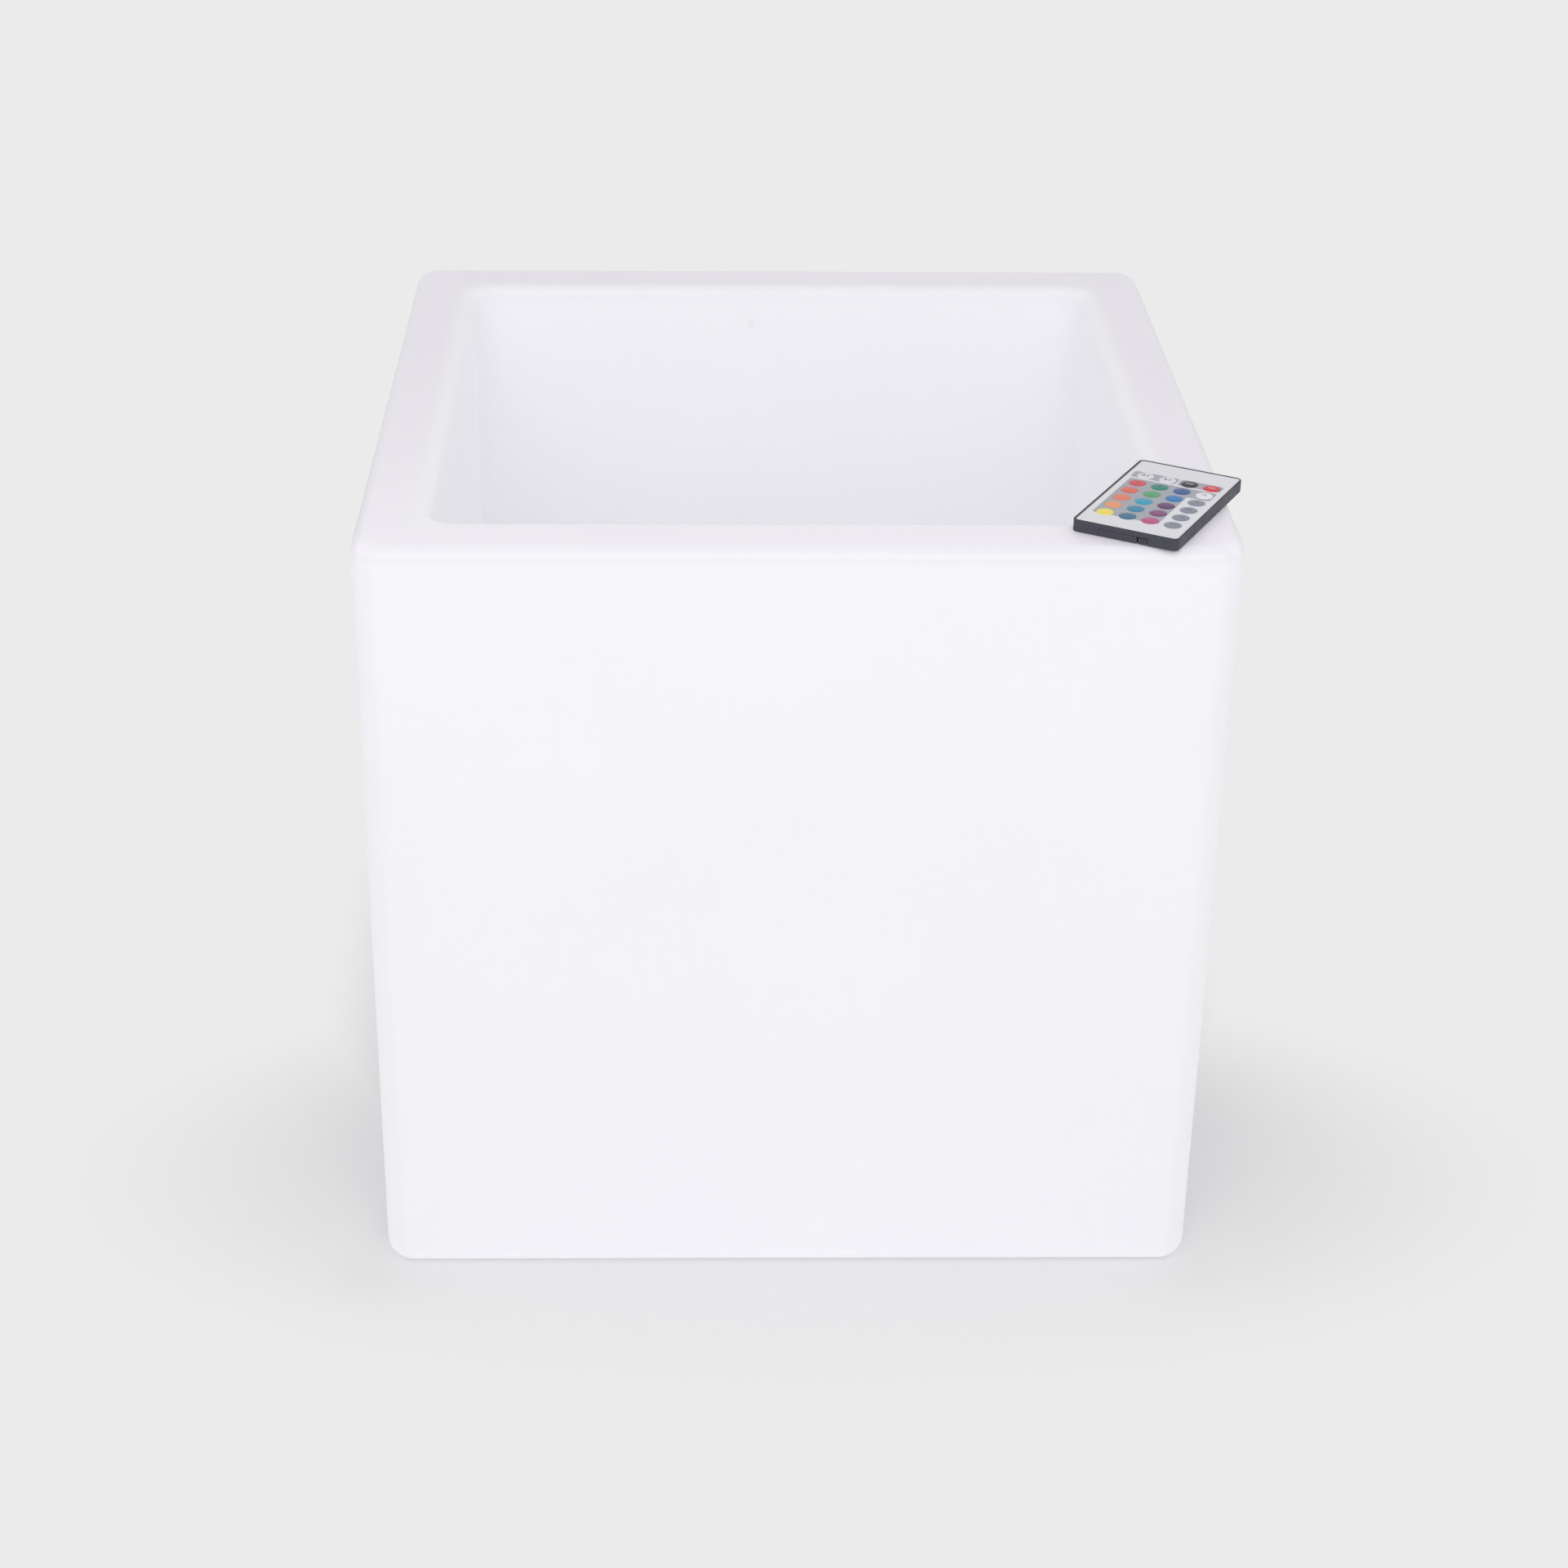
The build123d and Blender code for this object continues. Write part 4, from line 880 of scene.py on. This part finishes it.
# %% Finishes of the frame's nodes
milky = {"ior": 1.58, "subsurface_weight": 0.6, "subsurface_scale": 0.004}
looks = {
    moulded("black_plastic", (0.028, 0.028, 0.031), 0.45): [
        "lamp_housing", "battery_cradle", "charging_socket", "power_button", "switch_plunger",
        "button_switch",
    ],
    moulded("silicone", (0.10, 0.10, 0.11), 0.65, sheen_weight=0.15): [
        "housing_gasket", "lens_seal", "socket_bung",
    ],
    moulded("frosted_lens", (0.86, 0.86, 0.89), 0.4, **milky): ["lens_dome"],
    moulded("clear_plastic", (0.75, 0.80, 0.84), 0.18, ior=1.58, transmission_weight=0.6): [
        "status_window",
    ],
    moulded("component_black", (0.02, 0.02, 0.022), 0.4): [
        "ir_receiver", "control_components", "remote_chip", "ir_emitter",
    ],
    moulded("cell_sleeve", (0.035, 0.12, 0.36), 0.28, coat_weight=0.3): ["battery_cells"],
    moulded("lead_jacket", (0.35, 0.03, 0.03), 0.45): ["battery_lead", "led_lead"],
    moulded("led_body", (0.90, 0.86, 0.62), 0.25, ior=1.5): ["led_chips"],
    moulded("remote_shell", (0.056, 0.056, 0.075), 0.48, 1500.0, 0.00005, ior=1.4): [
        "remote_case", "remote_face_plate", "battery_tray", "tray_latch",
    ],
    metal("aluminium_sheet", (0.72, 0.73, 0.74), 0.32, (1.0, 0.05, 1.0)): ["heat_sink"],
    metal("zinc_plated_steel", (0.55, 0.56, 0.58), 0.3): ["housing_screws", "lens_screws", "inner_screws"],
    metal("brass", (0.72, 0.50, 0.20), 0.3): ["threaded_inserts"],
    metal("contact_metal", (0.70, 0.63, 0.45), 0.3, (0.1, 1.0, 1.0)): ["battery_contacts", "snap_domes"],
    metal("coin_metal", (0.66, 0.67, 0.69), 0.26): ["coin_cell"],
    board("circuit_board", (0.012, 0.085, 0.035), (0.02, 0.13, 0.05)): ["control_board", "remote_board"],
    board("white_board", (0.80, 0.81, 0.82), (0.74, 0.75, 0.77)): ["led_board"],
}
for material, node_names in looks.items():
    for node_name in node_names:
        dress(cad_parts[node_name], material)
print("finishes for the frame:", len(looks))

# %% [markdown]
# ## Floor
#
# The studio behind the object is one even pale grey, in which floor and wall can't be told apart. Near
# the object the floor is a plain matte surface, so that it takes the soft shadow. Further out it fades
# into the exact grey of the background, which only camera, mirror and glass rays see. The fade is the
# smaller of two: one grows with the distance from the foot of the cube, the other outside a flat oval.

# %% Floor, in metres
background_grey = (0.831, 0.831, 0.831, 1.0)  # sRGB 235
floor_grey = (0.885, 0.885, 0.885, 1.0)
paper_half = 30.0
oval_middle, oval_size = (0.015, -0.115, 0.0), (0.40, 0.20, 1.0)
oval_fade = (0.50, 1.05)  # in the oval's own size
foot_reach = (0.2, 0.2, 0.0)
foot_fade = (0.005, 0.07)


def seen_plainly(tree):
    """1 for rays that show a surface as it is: from the camera, off a mirror or through glass."""
    rays = tree.nodes.new("ShaderNodeLightPath")
    seen = math_node(tree, "MAXIMUM", rays.outputs["Is Camera Ray"], rays.outputs["Is Glossy Ray"])
    return math_node(tree, "MAXIMUM", seen, rays.outputs["Is Transmission Ray"])


def smooth_ramp(tree, value, span):
    """0 before the span, 1 past it, smooth in between."""
    step = add_node(tree, "ShaderNodeMapRange", {"Value": value, "From Min": span[0], "From Max": span[1]})
    step.interpolation_type = "SMOOTHSTEP"
    return step.outputs["Result"]


def paper_floor():
    """Matte paper that fades into the background's grey, where it is seen plainly."""
    paper = bpy.data.materials.new("paper_floor")
    paper.use_nodes = True
    tree = paper.node_tree
    tree.nodes.clear()
    place = object_place(tree)
    oval = add_node(tree, "ShaderNodeMapping", {
        "Vector": place, "Location": oval_middle, "Scale": oval_size,
    })
    oval.vector_type = "TEXTURE"
    from_oval = vector_node(tree, "LENGTH", oval.outputs["Vector"])
    past_foot = vector_node(tree, "SUBTRACT", vector_node(tree, "ABSOLUTE", place), foot_reach)
    from_foot = vector_node(tree, "LENGTH", vector_node(tree, "MAXIMUM", past_foot))
    oval_share = smooth_ramp(tree, from_oval, oval_fade)
    foot_share = smooth_ramp(tree, from_foot, foot_fade)
    fade = math_node(tree, "MINIMUM", oval_share, foot_share)
    matte = add_node(tree, "ShaderNodeBsdfDiffuse", {"Color": floor_grey})
    even = add_node(tree, "ShaderNodeEmission", {"Color": background_grey})
    blend = add_node(tree, "ShaderNodeMixShader", {
        "Fac": math_node(tree, "MULTIPLY", fade, seen_plainly(tree)),
        1: matte.outputs["BSDF"], 2: even.outputs["Emission"],
    })
    add_node(tree, "ShaderNodeOutputMaterial", {"Surface": blend.outputs["Shader"]})
    return paper


corners = [(x * paper_half, y * paper_half, 0) for x, y in ((-1, -1), (1, -1), (1, 1), (-1, 1))]
floor_mesh = bpy.data.meshes.new("floor")
floor_mesh.from_pydata(corners, [], [(0, 1, 2, 3)])
floor_mesh.materials.append(paper_floor())
floor = show("floor", floor_mesh)
print("floor:", 2 * paper_half, "m wide")

# %% [markdown]
# ## World
#
# The studio's walls light the object evenly, so the world is plain white at a strength that leaves the
# shadows soft. The rays that see the world plainly see the grey of the background instead, so its colour
# doesn't depend on how strong that light is.

# %% Even light and plain background
plain_white = (1.0, 1.0, 1.0, 1.0)
ambient_strength = 0.68


def studio():
    """White light for the object, and the background's grey where the world is seen plainly."""
    world = bpy.data.worlds.new("studio")
    world.use_nodes = True
    tree = world.node_tree
    tree.nodes.clear()
    ambient = add_node(tree, "ShaderNodeBackground", {"Color": plain_white, "Strength": ambient_strength})
    backdrop = add_node(tree, "ShaderNodeBackground", {"Color": background_grey})
    blend = add_node(tree, "ShaderNodeMixShader", {
        "Fac": seen_plainly(tree), 1: ambient.outputs["Background"], 2: backdrop.outputs["Background"],
    })
    add_node(tree, "ShaderNodeOutputWorld", {"Surface": blend.outputs["Shader"]})
    return world


bpy.context.scene.world = studio()
print("world:", bpy.context.scene.world.name)

# %% [markdown]
# ## Light
#
# The front face is the brightest surface and the rim is a shade darker, so the main light is a large soft
# box in front of the object. A weaker and nearer one, higher than the camera, lights the rim and the
# basin. Both are soft, so the cube's shadow on the floor is no more than a faint darker band.

# %% Lamps
def soft_box(name, size, power, place, target):
    """A square area light that looks at a point. Size and places in metres, power in watts."""
    light = bpy.data.lights.new(name, "AREA")
    light.shape = "SQUARE"
    light.size = size
    light.energy = power
    lamp = show(name, light)
    lamp.location = place
    lamp.rotation_euler = (Vector(target) - Vector(place)).to_track_quat("-Z", "Y").to_euler()
    print(name, "has", power, "W")


soft_box("front_light", size=2.0, power=10.8, place=(0.0, -2.6, 0.7), target=(0, 0, 0.2))
soft_box("near_light", size=1.4, power=5.0, place=(-0.09, -1.3, 1.35), target=(0, 0, 0.35))

# %% [markdown]
# ## Camera
#
# The photograph was taken from above the front of the cube with a long lens. Focal length, place and
# angles were found from the cube's own corners. The small shifts frame the object as the photograph does.

# %% Camera
camera_place = np.array([-48.61, -1466.07, 937.38]) * mm
pitch, yaw, roll = np.radians([27.304, -1.137, 0.553])
sideways = np.array([np.cos(yaw), np.sin(yaw), 0.0])
forward = np.array([-np.sin(yaw) * np.cos(pitch), np.cos(yaw) * np.cos(pitch), -np.sin(pitch)])
above = np.cross(sideways, forward)
placement = np.eye(4)
placement[:3, 0] = np.cos(roll) * sideways + np.sin(roll) * above
placement[:3, 1] = -np.sin(roll) * sideways + np.cos(roll) * above
placement[:3, 2] = -forward
placement[:3, 3] = camera_place
lens = bpy.data.cameras.new("camera")
lens.sensor_width = 36.0
lens.lens = 69.27
lens.shift_x = 0.0245
lens.shift_y = -0.0073
lens.clip_start = 0.01
lens.clip_end = 100.0
camera = show("camera", lens)
camera.matrix_world = Matrix(placement.tolist())
bpy.context.scene.camera = camera
bpy.context.scene.view_settings.view_transform = "Standard"
print("camera:", round(lens.lens, 2), "mm lens")
